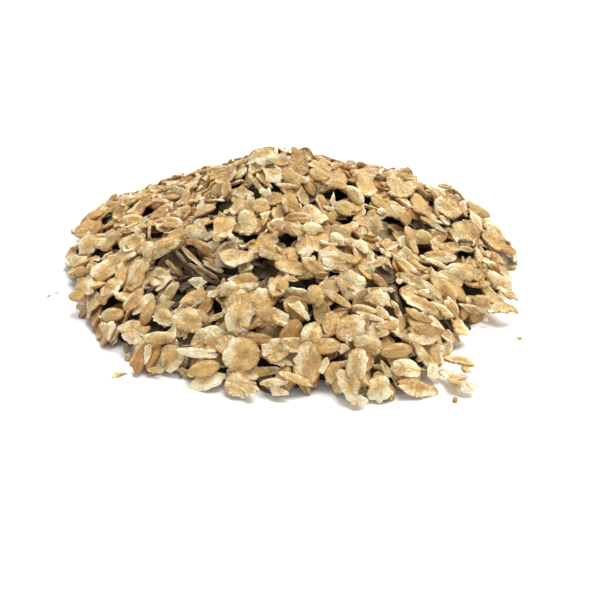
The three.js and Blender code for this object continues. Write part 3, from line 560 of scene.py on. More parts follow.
class View:
    """The camera of the picture: where a point shows in it, and where a pixel looks."""

    def __init__(self):
        self.right = np.array([1.0, 0.0, 0.0])
        self.up = np.array([0.0, math.sin(VIEW_TILT), math.cos(VIEW_TILT)])
        self.into = np.array([0.0, math.cos(VIEW_TILT), -math.sin(VIEW_TILT)])
        self.eye = np.array(VIEW_TARGET) - VIEW_AWAY * self.into

    def shows_at(self, points):
        """Across and down in pixels: the share of right and up to depth, times the focal length."""
        away = points - self.eye
        depth = away @ self.into
        return (PICTURE_MIDDLE + FOCAL_PIXELS * (away @ self.right) / depth,
                PICTURE_MIDDLE - FOCAL_PIXELS * (away @ self.up) / depth)

    def ray(self, across, down):
        """The way from the eye through a pixel, one millimetre deep."""
        return (self.into + self.right * (across - PICTURE_MIDDLE) / FOCAL_PIXELS
                - self.up * (down - PICTURE_MIDDLE) / FOCAL_PIXELS)

    def at_height(self, across, down, z):
        """The point of a pixel's ray at a height."""
        ray = self.ray(across, down)
        return self.eye + ray * (z - self.eye[2]) / ray[2]

    def on_heap(self, form, across, down, miss=0.0):
        """The first point of a pixel's ray on the heap, or where it passes over the heap by less
        than a miss in millimetres. Where it does neither, the point on the floor."""
        steps = self.eye + LOOK_ALONG[:, None] * self.ray(across, down)
        over = steps[:, 2] - form.top(steps[:, 0], steps[:, 1])
        over = np.where(form.share(steps[:, 0], steps[:, 1]) < 1, over, np.inf)
        if over.min() < miss:
            return steps[int(np.argmax(over <= max(over.min(), 0)))]
        return self.at_height(across, down, 0.0)


# ---- the form of a flake ----


class Flakes:
    """Many flakes of one kind or of several, each number an array with one entry a flake."""

    def __init__(self, kinds, rng):
        n = len(kinds)
        self.kind = np.array(kinds)
        for key in RANGED:
            low, high = np.array([KINDS[k][key] for k in kinds]).T
            setattr(self, key, low + (high - low) * rng.random(n))
        self.width = self.length * self.slim
        lobes, ragged, notches = (
            np.array([KINDS[k][key] for k in kinds])[:, None] for key in ("lobes", "ragged", "notches"))
        slow = WAVES < SLOW_WAVES
        waves = (n, len(WAVES))
        self.lobe_size = np.where(slow, lobes * LOBE_WAVE / WAVES, 0) * rng.uniform(*LOBE_RANGE, waves)
        self.tooth_size = np.where(slow, 0, ragged * TOOTH_WAVE / WAVES) * rng.uniform(*TOOTH_RANGE, waves)
        self.wave_start = rng.uniform(0, 2 * np.pi, waves)
        self.torn_at = rng.uniform(0, 2 * np.pi, n)
        most = (n, MOST_NOTCHES)
        self.notch_at = self.torn_at[:, None] + rng.normal(0, NOTCH_SCATTER, most)
        self.notch_deep = rng.uniform(*NOTCH_DEEP, most) * (rng.random(most) * MOST_NOTCHES < notches)
        self.notch_wide = rng.uniform(*NOTCH_WIDE, most)
        self.chord_at = rng.uniform(0, 2 * np.pi, n)[:, None] + np.stack(
            [np.zeros(n), rng.uniform(*CHORD_TURN, n)], 1)
        self.second_chord = rng.uniform(*SECOND_CHORD, n)
        self.fold_run = rng.uniform(0, 2 * np.pi, (n, FOLDS))
        self.fold_start = rng.uniform(0, 2 * np.pi, (n, FOLDS))
        self.fold_long = rng.uniform(*FOLD_LONG, (n, FOLDS))
        self.seed = rng.uniform(0, SEED_SPAN, n)

    def __len__(self):
        return len(self.kind)

    def picked(self, which):
        """Some of the flakes."""
        made = object.__new__(Flakes)
        for key, value in vars(self).items():
            setattr(made, key, value[which])
        return made

    def tear(self, angle):
        """How torn the edge is in a direction, from 0 to 1: most on one side of the flake."""
        facing = np.cos(angle[None, :] - self.torn_at[:, None])
        return np.clip(self.torn[:, None] * TORN_GAIN + facing * TORN_SIDE - TORN_START, 0, 1)

    def outline(self, angle):
        """The edge's distance from the middle. A blunt oval, (|cos|^n + |sin|^n)^(-1/n), with lobes
        as waves round it, teeth and notches where it is torn, and a straight broken side."""
        n = self.blunt[:, None]
        reach = (np.abs(np.cos(angle)) ** n + np.abs(np.sin(angle)) ** n) ** (-1 / n)
        wave = np.cos(WAVES[None, :, None] * angle[None, None, :] + self.wave_start[:, :, None])
        torn = SOUND_TEETH + (1 - SOUND_TEETH) * self.tear(angle)
        teeth = (self.tooth_size[:, :, None] * wave).sum(1) * torn
        apart = (angle[None, None, :] - self.notch_at[:, :, None] + np.pi) % (2 * np.pi) - np.pi
        notch = (self.notch_deep[:, :, None] * np.exp(-((apart / self.notch_wide[:, :, None]) ** 2))).sum(1)
        reach = reach * (1 + (self.lobe_size[:, :, None] * wave).sum(1) + teeth - notch)
        for side, chord in ((0, self.chord), (1, self.chord * self.second_chord)):
            facing = np.cos(angle[None, :] - self.chord_at[:, side, None])
            broken = chord[:, None] / np.maximum(facing, TINY) * (1 + teeth)
            reach = np.minimum(reach, np.where(facing > 0, broken, np.inf))
        return reach

    def surface(self, ring, angle):
        """The two faces of each flake at every ring and angle, as arrays of x, y and z with one
        row a flake. The middle face is bent along and across, twisted and crumpled, and the plate
        around it thins from the middle to the edge, with a groove along the top."""
        per = lambda value: value[:, None, None]
        reach = self.outline(angle)[:, None, :] * ring[None, :, None]
        along = reach * np.cos(angle)
        across = reach * np.sin(angle) * (1 - per(self.taper) * along - per(self.point) * along**2)
        x, y = along * per(self.length) / 2, across * per(self.width) / 2
        middle = -per(self.curl) * along**2 - per(self.cup) * across**2 + per(self.twist) * along * across
        for fold in range(FOLDS):
            run, start = per(self.fold_run[:, fold]), per(self.fold_start[:, fold])
            way = (x * np.cos(run) + y * np.sin(run)) * 2 * np.pi / per(self.fold_long[:, fold])
            middle = middle + per(self.crumple) * np.sin(way + start)
        worn = 1 - WORN * self.tear(angle)[:, None, :] * ring[None, :, None] ** 2
        half = per(self.edge) + (1 - per(self.edge)) * (1 - ring[None, :, None] ** PLATE_POWER)
        half = half * per(self.thick) / 2 * worn
        groove = per(self.crease) * np.exp(-((y / GROOVE_WIDTH) ** 2)) * np.clip(1 - along**2, 0, 1)
        over = np.stack([x, y, middle + half - groove], -1)
        under = np.stack([x, y, middle - half], -1)
        rim = np.stack([x, y, middle], -1)
        return over, under, rim


# ---- laying the flakes ----


def turn_to(way):
    """The shortest turn that takes +Z to a direction."""
    x, y, z = unit(np.asarray(way, float))
    k = 1 / (1 + z)
    return np.array([[1 - x * x * k, -x * y * k, x], [-x * y * k, 1 - y * y * k, y], [-x, -y, z]])


def turn_about(axis, angle):
    """The turn by an angle about an axis, by Rodrigues' formula."""
    x, y, z = unit(np.asarray(axis, float))
    cross = np.array([[0, -z, y], [z, 0, -x], [-y, x, 0]])
    return np.eye(3) + math.sin(angle) * cross + (1 - math.cos(angle)) * cross @ cross


def resting_slopes(x, y, rise):
    """The slopes of the plane that runs closest to the heights, by least squares, pulled level a
    little."""
    x, y, rise = x - x.mean(), y - y.mean(), rise - rise.mean()
    xx, yy, xy = (x * x).sum() + LEVEL_PULL, (y * y).sum() + LEVEL_PULL, (x * y).sum()
    xz, yz = (x * rise).sum(), (y * rise).sum()
    area = xx * yy - xy * xy
    return (xz * yy - yz * xy) / area, (yz * xx - xz * xy) / area


class Bed:
    """A height map of what has been laid so far."""

    def __init__(self, form):
        self.side = int(2 * MAP_REACH / CELL) + 1
        line = np.arange(self.side) * CELL - MAP_REACH
        x, y = np.meshgrid(line, line)
        core = np.maximum(form.hollowed(x, y) - CORE_DEPTH, 0)
        self.height = np.where(form.share(x, y) < CORE_INSET, core, 0.0)
        self.wanted = form.hollowed(x, y)
        self.inside = np.argwhere(form.share(x, y) < HEAP_REACH)

    def cells(self, x, y):
        """The row and column of each point on the map."""
        column = np.clip(((x + MAP_REACH) / CELL + 0.5).astype(int), 0, self.side - 1)
        row = np.clip(((y + MAP_REACH) / CELL + 0.5).astype(int), 0, self.side - 1)
        return row, column

    def lowest(self, rng, tries):
        """The place with the most room under the heap's surface among a few drawn at random."""
        row, column = self.inside[rng.integers(0, len(self.inside), tries)].T
        room = self.wanted[row, column] - self.height[row, column]
        best = int(np.argmax(room))
        return column[best] * CELL - MAP_REACH, row[best] * CELL - MAP_REACH, room[best]

    def pass_over(self, x, y):
        """Takes a place where nothing fits off the wanted surface."""
        row, column = self.cells(np.array(x), np.array(y))
        rows = slice(row - PASSED_CELLS, row + PASSED_CELLS + 1)
        columns = slice(column - PASSED_CELLS, column + PASSED_CELLS + 1)
        self.wanted[rows, columns] = 0

    def under(self, x, y):
        """How high things are piled at each point."""
        return self.height[self.cells(x, y)]

    def mark(self, x, y, z):
        """Raises the map to points that now lie there."""
        np.maximum.at(self.height, self.cells(x, y), z)

    def land(self, x, y, touch, turn, settle):
        """Drops a flake at a place. It tips by a share onto what lies under it, and comes down
        until a few of its points are in contact."""
        if settle > 0:
            felt = touch @ turn.T
            rise = self.under(x + felt[:, 0], y + felt[:, 1]) - felt[:, 2]
            slope_x, slope_y = resting_slopes(felt[:, 0], felt[:, 1], rise)
            share = settle * min(1.0, STEEPEST / max(math.hypot(slope_x, slope_y), TINY))
            turn = turn_to((-slope_x * share, -slope_y * share, 1.0)) @ turn
        felt = touch @ turn.T
        rise = self.under(x + felt[:, 0], y + felt[:, 1]) - felt[:, 2]
        z = float(max(np.percentile(rise, TUCK), rise.max() - DEEPEST_TUCK))
        return turn, z, z - float(rise.mean())


def both_faces(flakes, rings, spokes):
    """Points spread over both faces of each flake."""
    angle = np.arange(spokes) * 2 * np.pi / spokes
    over, under, _ = flakes.surface(np.array(rings), angle)
    return np.concatenate([over, under], 1).reshape(len(flakes), -1, 3)


class Laid:
    """The flakes with the place and turn of each, and how deep each lies, from 0 to 1."""

    def __init__(self, flakes, place, turn, deep):
        self.flakes, self.place, self.turn, self.deep = flakes, place, turn, deep

    def picked(self, which):
        """Some of the laid flakes."""
        return Laid(self.flakes.picked(which), self.place[which], self.turn[which], self.deep[which])


def joined(first, second):
    """Two lots of laid flakes as one."""
    flakes = object.__new__(Flakes)
    for key, value in vars(first.flakes).items():
        setattr(flakes, key, np.concatenate([value, getattr(second.flakes, key)]))
    both = [np.concatenate([getattr(first, key), getattr(second, key)]) for key in ("place", "turn", "deep")]
    return Laid(flakes, *both)


class Openings:
    """The hollows and the clear places of the picture, which no flake near the surface may cover."""

    def __init__(self, view):
        self.view = view
        self.across, self.down, self.half_width, self.half_height = np.array(HOLLOWS + CLEAR, float).T

    def covered(self, points):
        """Whether a point shows within the part of a spot that is kept open."""
        across, down = self.view.shows_at(points)
        across = (across[:, None] - self.across) / self.half_width
        down = (down[:, None] - self.down) / self.half_height
        return bool((across**2 + down**2 < KEPT_OPEN).any())


def feelers(flakes):
    """The points by which flakes come to rest, and the closer ones by which they cover others."""
    return both_faces(flakes, TOUCH_RINGS, TOUCH_SPOKES), both_faces(flakes, COVER_RINGS, COVER_SPOKES)


def depth_of(form, place, deepest):
    """How deep each place lies under the heap's surface, from 0 on it to 1 where it is painted fully with
    shade.
    """
    return np.clip((form.mounded(place[:, 0], place[:, 1]) - place[:, 2]) / FULL_SHADE_DEPTH, 0, deepest)


def drawn_pose(rng, base, propped):
    """A turn drawn at random: leaning a little off the slope or propped on edge, its length mostly
    down the slope, and either face up."""
    lean = rng.uniform(*PROPPED_LEAN) if propped else rng.normal(0, LEAN_SPREAD)
    toward = rng.uniform(0, 2 * np.pi)
    pose = base @ turn_about((math.cos(toward), math.sin(toward), 0), lean)
    downhill = math.atan2(base[1, 2], base[0, 2])
    slid = rng.random() < SLID
    heading = rng.normal(downhill, SLID_SPREAD) if slid else rng.uniform(0, 2 * np.pi)
    pose = pose @ turn_about((0, 0, 1), heading)
    if rng.random() < UPSIDE_DOWN:
        pose = pose @ turn_about((1, 0, 0), math.pi)
    return pose


def lowest_fit(rng, form, bed, openings, x, y, touch, cover, propped):
    """The lowest of a few drawn turns in which a flake lies close and covers no opening: its turn,
    height and points. None if it fits in none of them."""
    base = turn_to(form.normal(x, y))
    best = None
    for _ in range(TURNS_DRAWN):
        pose = drawn_pose(rng, base, propped)
        pose, z, gap = bed.land(x, y, touch, pose, 0.0 if propped else rng.uniform(*SETTLING))
        z -= rng.uniform(*PROPPED_SINK) if propped else FLAT_SINK
        over = z - float(form.top(x, y))
        if gap > LARGEST_GAP and not propped or over > HIGHEST_OVER or best and best[1] < z:
            continue
        points = cover @ pose.T + (x, y, z)
        if over < -OPEN_DEPTH or not openings.covered(points[::2]):
            best = (pose, z, points)
    return best


def lay_heap(form, view, bed, count):
    """Lays the heap's flakes: those along the foot first, then each where the heap is lowest under
    its surface among a few places drawn. Flakes that end up out of sight are left out."""
    rng = np.random.default_rng(SEED)
    names = list(KINDS)
    shares = np.array([KINDS[k]["share"] for k in names])
    flakes = Flakes(rng.choice(names, count, p=shares / shares.sum()), rng)
    touch, cover = feelers(flakes)
    openings = Openings(view)
    place, turn, used = np.zeros((count, 3)), np.zeros((count, 3, 3)), np.zeros(count, bool)
    for i in range(count):
        if i < RIM_COUNT:
            angle = (i * RIM_STEP + rng.random() * RIM_JITTER) * 2 * np.pi
            x, y = form.point(angle, rng.uniform(*RIM_BAND))
        else:
            x, y, room = bed.lowest(rng, PLACES_DRAWN)
            if room < LEAST_ROOM:
                continue
        propped = i > RIM_COUNT and rng.random() < PROPPED
        best = lowest_fit(rng, form, bed, openings, x, y, touch[i], cover[i], propped)
        if best is None:
            bed.pass_over(x, y)
            continue
        turn[i], z, points = best
        place[i] = x, y, z
        used[i] = True
        bed.mark(*points.T)
    seen = np.einsum("nij,nmj->nmi", turn, cover) + place[:, None, :]
    below = bed.under(seen[..., 0], seen[..., 1]) - seen[..., 2]
    in_sight = (below < BURIED).mean(1) > LEAST_SEEN
    return Laid(flakes, place, turn, depth_of(form, place, 1)).picked(used & in_sight)


def pose_seen(view, normal, way):
    """The turn of a flake with this upright, whose length shows in the picture along a way: the
    in-plane direction that covers it for the camera."""
    shown = view.right * math.cos(way) + view.up * math.sin(way)
    along = unit(shown - view.into * (shown @ normal) / (view.into @ normal))
    return np.stack([along, np.cross(normal, along), normal], 1)


def lay_seen(form, view, bed, rows, turned, miss, seed):
    """Lays the flakes of a table where they show in the picture, the first of them lowest. One that
    would pass over the heap by a miss or less is put on its crest instead."""
    rng = np.random.default_rng(seed)
    flakes = Flakes([KIND_OF[row.kind] for row in rows], rng)
    for key in ("length", "width", "tone", "pale"):
        setattr(flakes, key, np.array([getattr(row, key) for row in rows], float))
    flakes.torn_at = rng.uniform(0, 2 * np.pi, len(rows))
    starts = [view.on_heap(form, row.across, row.down, miss) for row in rows]
    turns = []
    for i, (row, (x, y, z)) in enumerate(zip(rows, starts)):
        normal = form.normal(x, y) if z > LYING_BELOW else np.array([0.0, 0.0, 1.0])
        share = turned * min(1.0, TURN_LOW + z / TURN_RISE)
        normal = unit(normal * (1 - share) - view.into * share + rng.normal(0, SEEN_WOBBLE, 3))
        pose = pose_seen(view, normal, math.radians(row.way))
        if row.torn_way is not None:
            to_side = pose_seen(view, normal, math.radians(row.torn_way))[:, 0]
            flakes.torn_at[i] = math.atan2(to_side @ pose[:, 1], to_side @ pose[:, 0])
            flakes.torn[i] = max(flakes.torn[i], SEEN_TORN)
        turns.append(pose)
    touch, cover = feelers(flakes)
    place = np.zeros((len(rows), 3))
    for i, (row, (x, y, z), pose) in enumerate(zip(rows, starts, turns)):
        crest = z > form.top(x, y) + SEEN_LEEWAY
        for _ in range(SEEN_STEPS):
            _, landed, gap = bed.land(x, y, touch[i], pose, 0.0)
            landed -= min(SEEN_SINK * gap, SEEN_SINK_MOST)
            if crest:
                break
            z += SEEN_STEP * (landed - z)
            x, y, z = view.at_height(row.across, row.down, z)
        place[i] = x, y, landed if crest else min(landed, z + SEEN_LEEWAY)
        bed.mark(*(cover[i] @ pose.T + place[i]).T)
    return Laid(flakes, place, np.array(turns), depth_of(form, place, SEEN_DEEPEST))


# ---- meshes ----


def put_mesh(name, points, quads, triangles, point_values, corner_uv=None, crisp=None):
    """Puts arrays into a mesh: points in millimetres, faces by point, values by point, and a
    function that tells from the two ends of each edge whether it is crisp."""
    mesh = bpy.data.meshes.new(name)
    mesh.vertices.add(len(points))
    mesh.vertices.foreach_set("co", (points * MM).astype(np.float32).ravel())
    corners = np.concatenate([quads.ravel(), triangles.ravel()]).astype(np.int32)
    mesh.loops.add(len(corners))
    mesh.loops.foreach_set("vertex_index", corners)
    starts = np.concatenate([
        np.arange(len(quads)) * 4, len(quads) * 4 + np.arange(len(triangles)) * 3]).astype(np.int32)
    mesh.polygons.add(len(starts))
    mesh.polygons.foreach_set("loop_start", starts)
    mesh.update(calc_edges=True)
    mesh.shade_smooth()
    for key, value in point_values.items():
        vector = value.ndim == 2
        made = mesh.attributes.new(key, "FLOAT_VECTOR" if vector else "FLOAT", "POINT")
        made.data.foreach_set("vector" if vector else "value", value.astype(np.float32).ravel())
    if corner_uv is not None:
        layer = mesh.uv_layers.new(name="OFBake")
        layer.uv.foreach_set("vector", corner_uv.astype(np.float32).ravel())
    if crisp is not None:
        ends = np.empty(len(mesh.edges) * 2, np.int32)
        mesh.edges.foreach_get("vertices", ends)
        made = mesh.attributes.new("sharp_edge", "BOOLEAN", "EDGE")
        made.data.foreach_set("value", crisp(ends.reshape(-1, 2)))
    if mesh.validate():
        raise RuntimeError(f"{name} has faces that don't hold together")
    piece = bpy.data.objects.new(name, mesh)
    bpy.context.scene.collection.objects.link(piece)
    return piece


def ring_faces(rings, spokes):
    """The faces over closed rings of points, by point, as quads and triangles: bands between the
    rings, and a fan at each end. Points are the two middles, then the rings from top to underside."""
    at = lambda ring, spoke: 2 + ring * spokes + spoke % spokes
    spoke = np.arange(spokes)
    bands = [
        np.stack([at(r, spoke), at(r + 1, spoke), at(r + 1, spoke + 1), at(r, spoke + 1)], 1)
        for r in range(rings - 1)]
    fan_over = np.stack([np.zeros(spokes, int), at(0, spoke), at(0, spoke + 1)], 1)
    fan_under = np.stack([np.ones(spokes, int), at(rings - 1, spoke + 1), at(rings - 1, spoke)], 1)
    return np.concatenate(bands), np.concatenate([fan_over, fan_under])


def flake_points(laid, spokes):
    """Every point of each flake in the flake's own millimetres, with its share from the middle to
    the edge and its direction."""
    angle = np.arange(spokes) * 2 * np.pi / spokes
    rings = np.array(TOP_RINGS[1:] + (1.0,) + UNDER_RINGS[:-1])
    over, under, rim = laid.flakes.surface(rings, angle)
    at_rim = RINGS_ON_TOP
    ringed = np.concatenate([over[:, :at_rim], rim[:, at_rim:at_rim + 1], under[:, at_rim + 1:]], 1)
    middle_over, middle_under, _ = laid.flakes.surface(np.array([0.0]), angle[:1])
    n = len(laid.flakes)
    points = np.concatenate([middle_over[:, 0], middle_under[:, 0], ringed.reshape(n, -1, 3)], 1)
    share = np.concatenate([[0, 0], np.repeat(rings, spokes)])
    way = np.concatenate([[0, 0], np.tile(angle, len(rings))])
    return points, share, way


def rim_edges(spokes, points_each):
    """A function that picks the edges which run along a flake's outermost ring, on its top or its
    underside."""
    outer = (RINGS_ON_TOP - 1, RINGS_ON_TOP + 1)

    def crisp(ends):
        """True for the edges whose two ends lie on one of the outer rings."""
        ring = (ends % points_each - 2) // spokes
        return (ring[:, 0] == ring[:, 1]) & np.isin(ring[:, 0], outer) & (ends % points_each >= 2).all(1)

    return crisp


def flake_values(laid, local, share, way):
    """What the finish of a flake reads at each of its points: its place on the flake and the flake's
    own seed; tone, paleness and cracks; the share from the middle to the edge, how torn it is and
    how deep its groove; and how deep it lies, which sets how much shade is painted on it."""
    flakes, each = laid.flakes, local.shape[1]
    one = np.ones((len(flakes), each))
    on_top = np.arange(each) < 2 + RINGS_ON_TOP * ((each - 2) // ALL_RINGS)
    on_top[1] = False
    own = np.stack([local[..., 0], local[..., 1], flakes.seed[:, None] * one], -1)
    look = np.stack([flakes.tone, flakes.pale, flakes.cracks], -1)[:, None] * one[..., None]
    groove = np.exp(-((local[..., 1] / GROOVE_WIDTH) ** 2)) * (flakes.crease * GROOVE_DARK)[:, None] * on_top
    side = np.stack([share[None] * one, flakes.tear(way) * share[None], groove], -1)
    return {
        "flake_place": own.reshape(-1, 3),
        "flake_look": look.reshape(-1, 3),
        "flake_side": side.reshape(-1, 3),
        "flake_deep": (laid.deep[:, None] * one).ravel(),
    }


def flake_map(count, spokes, quads, triangles, share, way):
    """The map of every corner: each face of each flake is a disc in a square of its own."""
    disc = 0.5 + ISLAND_REACH * share[:, None] * np.stack([np.cos(way), np.sin(way)], -1)
    underside = np.arange(ALL_RINGS - 1) >= RINGS_ON_TOP
    half = np.concatenate([np.repeat(underside, 4 * spokes), np.repeat([0, 1], 3 * spokes)]).astype(int)
    corner = np.concatenate([quads.ravel(), triangles.ravel()])
    row = math.ceil(math.sqrt(2 * count))
    island = 2 * np.arange(count)[:, None] + half[None]
    uv = (np.stack([island % row, island // row], -1) + disc[corner][None]) / row
    of_quads, of_triangles = np.split(uv, [quads.size], 1)
    return np.concatenate([of_quads.reshape(-1, 2), of_triangles.reshape(-1, 2)])


def build_flakes(name, laid, spokes, material):
    """One piece that holds all flakes of a kind."""
    count = len(laid.flakes)
    local, share, way = flake_points(laid, spokes)
    placed = np.einsum("nij,nmj->nmi", laid.turn, local) + laid.place[:, None, :]
    placed[..., 2] = np.maximum(placed[..., 2], LOWEST_POINT)
    quads, triangles = ring_faces(ALL_RINGS, spokes)
    step = np.arange(count)[:, None, None] * local.shape[1]
    piece = put_mesh(
        name, placed.reshape(-1, 3), (quads + step).reshape(-1, 4), (triangles + step).reshape(-1, 3),
        flake_values(laid, local, share, way), flake_map(count, spokes, quads, triangles, share, way),
        rim_edges(spokes, local.shape[1]))
    piece.data.materials.append(material)
    return piece


def build_core(form, material):
    """The body under the flakes, a stand-in for the flakes inside that is painted near black as their
    shade: rings from the top to the foot at the flakes' height less the core's depth, and a flat
    underside."""
    angle = np.arange(CORE_SPOKES) * 2 * np.pi / CORE_SPOKES
    share = (np.arange(1, CORE_RINGS + 1) / CORE_RINGS)[:, None] * CORE_INSET
    share[-1] = share[-2]
    x, y = form.point(angle[None], share)
    rough = np.random.default_rng(SEED + 1).normal(0, CORE_ROUGH, x.shape)
    z = np.maximum(form.hollowed(x, y) - CORE_DEPTH + rough, CORE_LOWEST)
    z[-1] = CORE_UNDERSIDE
    middle_top = float(form.hollowed(np.array(0.0), np.array(FOOT_MIDDLE_Y)) - CORE_DEPTH)
    ends = np.array([[0, FOOT_MIDDLE_Y, middle_top], [0, FOOT_MIDDLE_Y, CORE_UNDERSIDE]])
    points = np.concatenate([ends, np.stack([x, y, z], -1).reshape(-1, 3)])
    piece = put_mesh("heap_core", points, *ring_faces(CORE_RINGS, CORE_SPOKES), {})
    piece.data.materials.append(material)
    return piece


# ---- materials ----

# The noises over a flake, on its own millimetres.
PATTERNS = dict(
    broad=dict(scale=0.28, detail=2.0),
    patchy=dict(scale=0.42, detail=5.0, rough=0.6, twist=1.2),
    torn_in=dict(scale=0.3, detail=4.0, twist=0.6),
    fine=dict(scale=1.4, detail=4.0, rough=0.6),
    grit=dict(scale=4.0, rough=0.6),
    blotchy=dict(scale=0.95, rough=0.55, twist=0.8),
    crazed=dict(scale=0.34, detail=4.0, rough=0.62, twist=0.7),
    veined=dict(scale=0.4, detail=2.0),
)
# The noises that run along a flake, are one value for each flake, or run in from its edge.
ALONG_GRAIN = dict(stretch=(0.2, 1.1, 1.0), scale=1.0, rough=0.6)
EACH_FLAKE = dict(stretch=(0.02, 0.02, 1.0), scale=0.9, detail=1.0)
STREAKS = dict(stretch=(1.0, 1.0, 1.0), scale=1.5, rough=0.6)
SPLITS = dict(stretch=(1.0, 1.0, 1.3), scale=0.9, detail=2.0)
ROUND_THE_EDGE = 2.2  # size of the ring on which a direction from the middle is looked up
EDGE_LIFT = 0.6  # how far the look-up moves on from the middle to the edge

# Where each share runs from 0 to 1, and how strongly each layer of colour covers what is under it.
RUNS = dict(
    straw=(0.5, 0.68), blotches=(0.5, 0.62), light_bran=(0.52, 0.88), floury=(0.96, 1.05),
    vein=(0.006, 0.036), veined=(0.68, 0.92), split=(0.6, 1.1), split_off_middle=(0.15, 0.4),
    cream=(0.32, 0.6), brown_edge_and_shade=(0.8, 0.97), grit=(0.6, 0.75), dark=(0.2, 0.8))
COVERS = dict(
    straw=0.75, groove=0.6, blotches=0.24, light_bran=0.85, floury=0.93, brown_edge_and_shade=0.7, grit=0.25, dark=0.85)
TONE_SWAY = dict(broad=1.5, patchy=1.0, grainwise=1.5)
# The reach of the floury inside, which shows where the reach is about 1 and more.
REACH_FROM = dict(edge=0.2, torn=0.75)
REACH_STREAKS = (0.2, 1.7)  # sway by the streaks on a sound flake, and how it grows with cracks
STREAKS_AT_MIDDLE = 0.5  # and how it grows from the middle to the edge
REACH_SWAY = dict(patchy=0.6, torn_in=2.0, grainwise=0.5)
REACH_PALE = 0.55
VEINED_BY_CRACKS = 0.36
SPLIT_WIDTH = 0.045  # at the edge of a flake with all its cracks
CRACK_STRENGTH = 0.6
RELIEF = dict(patchy=1.0, fine=0.45, grit=0.12, grainwise=0.7, floury=0.25, blotches=-0.2)
RELIEF_DEPTH = 0.0006  # in metres
SKIN_RELIEF, CORE_RELIEF = 1.0, 0.8
SKIN_ROUGH, FLOUR_ROUGHER, DARK_ROUGH = 0.5, 0.25, 0.9
SKIN_SHINE, CORE_SHINE = 0.3, 0.1
CORE_GRAIN = dict(scale=600.0, detail=4.0, rough=0.6)  # over a metre
CORE_LIGHTER = 2.5  # how much lighter the core is than the gap in places


class Nodes:
    """Short ways to add and join the nodes of a material."""

    def __init__(self, name):
        self.material = bpy.data.materials.new(name)
        self.material.use_nodes = True
        self.tree = self.material.node_tree
        self.tree.nodes.clear()

    def add(self, kind, inputs=(), **settings):
        """A new node with its settings, and its inputs as values or as the sockets that feed them."""
        node = self.tree.nodes.new(kind)
        for key, value in settings.items():
            setattr(node, key, value)
        for key, value in dict(inputs).items():
            socket = node.inputs[key]
            if isinstance(value, bpy.types.NodeSocket):
                self.tree.links.new(value, socket)
            else:
                socket.default_value = value
        return node

    def read(self, name, output):
        """A value that the mesh carries at its points."""
        return self.add("ShaderNodeAttribute", attribute_name=name).outputs[output]

    def parts(self, vector):
        """A vector's three numbers."""
        return self.add("ShaderNodeSeparateXYZ", {0: vector}).outputs

    def put_together(self, x, y, z):
        """A vector of three numbers."""
        return self.add("ShaderNodeCombineXYZ", {0: x, 1: y, 2: z}).outputs[0]

    def math(self, operation, a, b=0.0, c=0.0, clamp=False):
        """The result of a sum on single values."""
        node = self.add("ShaderNodeMath", {0: a, 1: b, 2: c}, operation=operation, use_clamp=clamp)
        return node.outputs[0]

    def vector(self, operation, a, b=(0, 0, 0)):
        """The result of a sum on vectors."""
        return self.add("ShaderNodeVectorMath", {0: a, 1: b}, operation=operation).outputs[0]

    def scaled(self, vector, scale):
        """A vector times a single value."""
        return self.add("ShaderNodeVectorMath", {0: vector, "Scale": scale}, operation="SCALE").outputs[0]

    def noise(self, place, scale, detail=3.0, rough=0.5, twist=0.0):
        """A noise of the place, from 0 to 1."""
        node = self.add("ShaderNodeTexNoise", {
            "Vector": place, "Scale": scale, "Detail": detail, "Roughness": rough, "Distortion": twist})
        return node.outputs["Fac"]

    def stretched(self, place, stretch, **settings):
        """A noise whose place is stretched along its axes first."""
        return self.noise(self.vector("MULTIPLY", place, stretch), **settings)

    def ramp(self, value, low, high):
        """0 below low, 1 above high, smooth between."""
        settings = {"Value": value, "From Min": low, "From Max": high}
        node = self.add("ShaderNodeMapRange", settings, interpolation_type="SMOOTHSTEP")
        return node.outputs["Result"]

    def run(self, name, value):
        """A value as the named share."""
        return self.ramp(value, *RUNS[name])

    def centred(self, noise):
        """A noise less its middle value."""
        return self.math("SUBTRACT", noise, 0.5)

    def swayed(self, value, facts, weights):
        """A value moved up and down by centred noises, each times its weight."""
        for key, weight in weights.items():
            sway = self.math("MULTIPLY", self.centred(getattr(facts, key)), weight)
            value = self.math("ADD", value, sway)
        return value

    def weighed(self, facts, weights):
        """The sum of values, each times its weight."""
        total = 0.0
        for key, weight in weights.items():
            total = self.math("ADD", total, self.math("MULTIPLY", getattr(facts, key), weight))
        return total

    def blend(self, share, a, b):
        """The colour a where the share is 0 and b where it is 1. The node's inputs 6 and 7 and its
        output 2 are those for colours."""
        node = self.add("ShaderNodeMix", data_type="RGBA")
        for key, value in ((0, share), (6, a), (7, b)):
            if isinstance(value, bpy.types.NodeSocket):
                self.tree.links.new(value, node.inputs[key])
            else:
                node.inputs[key].default_value = value
        return node.outputs[2]

    def cover(self, name, skin, colour, share):
        """A skin with a colour laid over it, by a share times the named layer's strength."""
        return self.blend(self.math("MULTIPLY", share, COVERS[name]), skin, colour)

    def finish(self, shader):
        """The finished material."""
        out = self.add("ShaderNodeOutputMaterial")
        self.tree.links.new(shader.outputs[0], out.inputs["Surface"])
        return self.material


def full(colour):
    """A colour with its alpha."""
    return (*colour, 1.0)


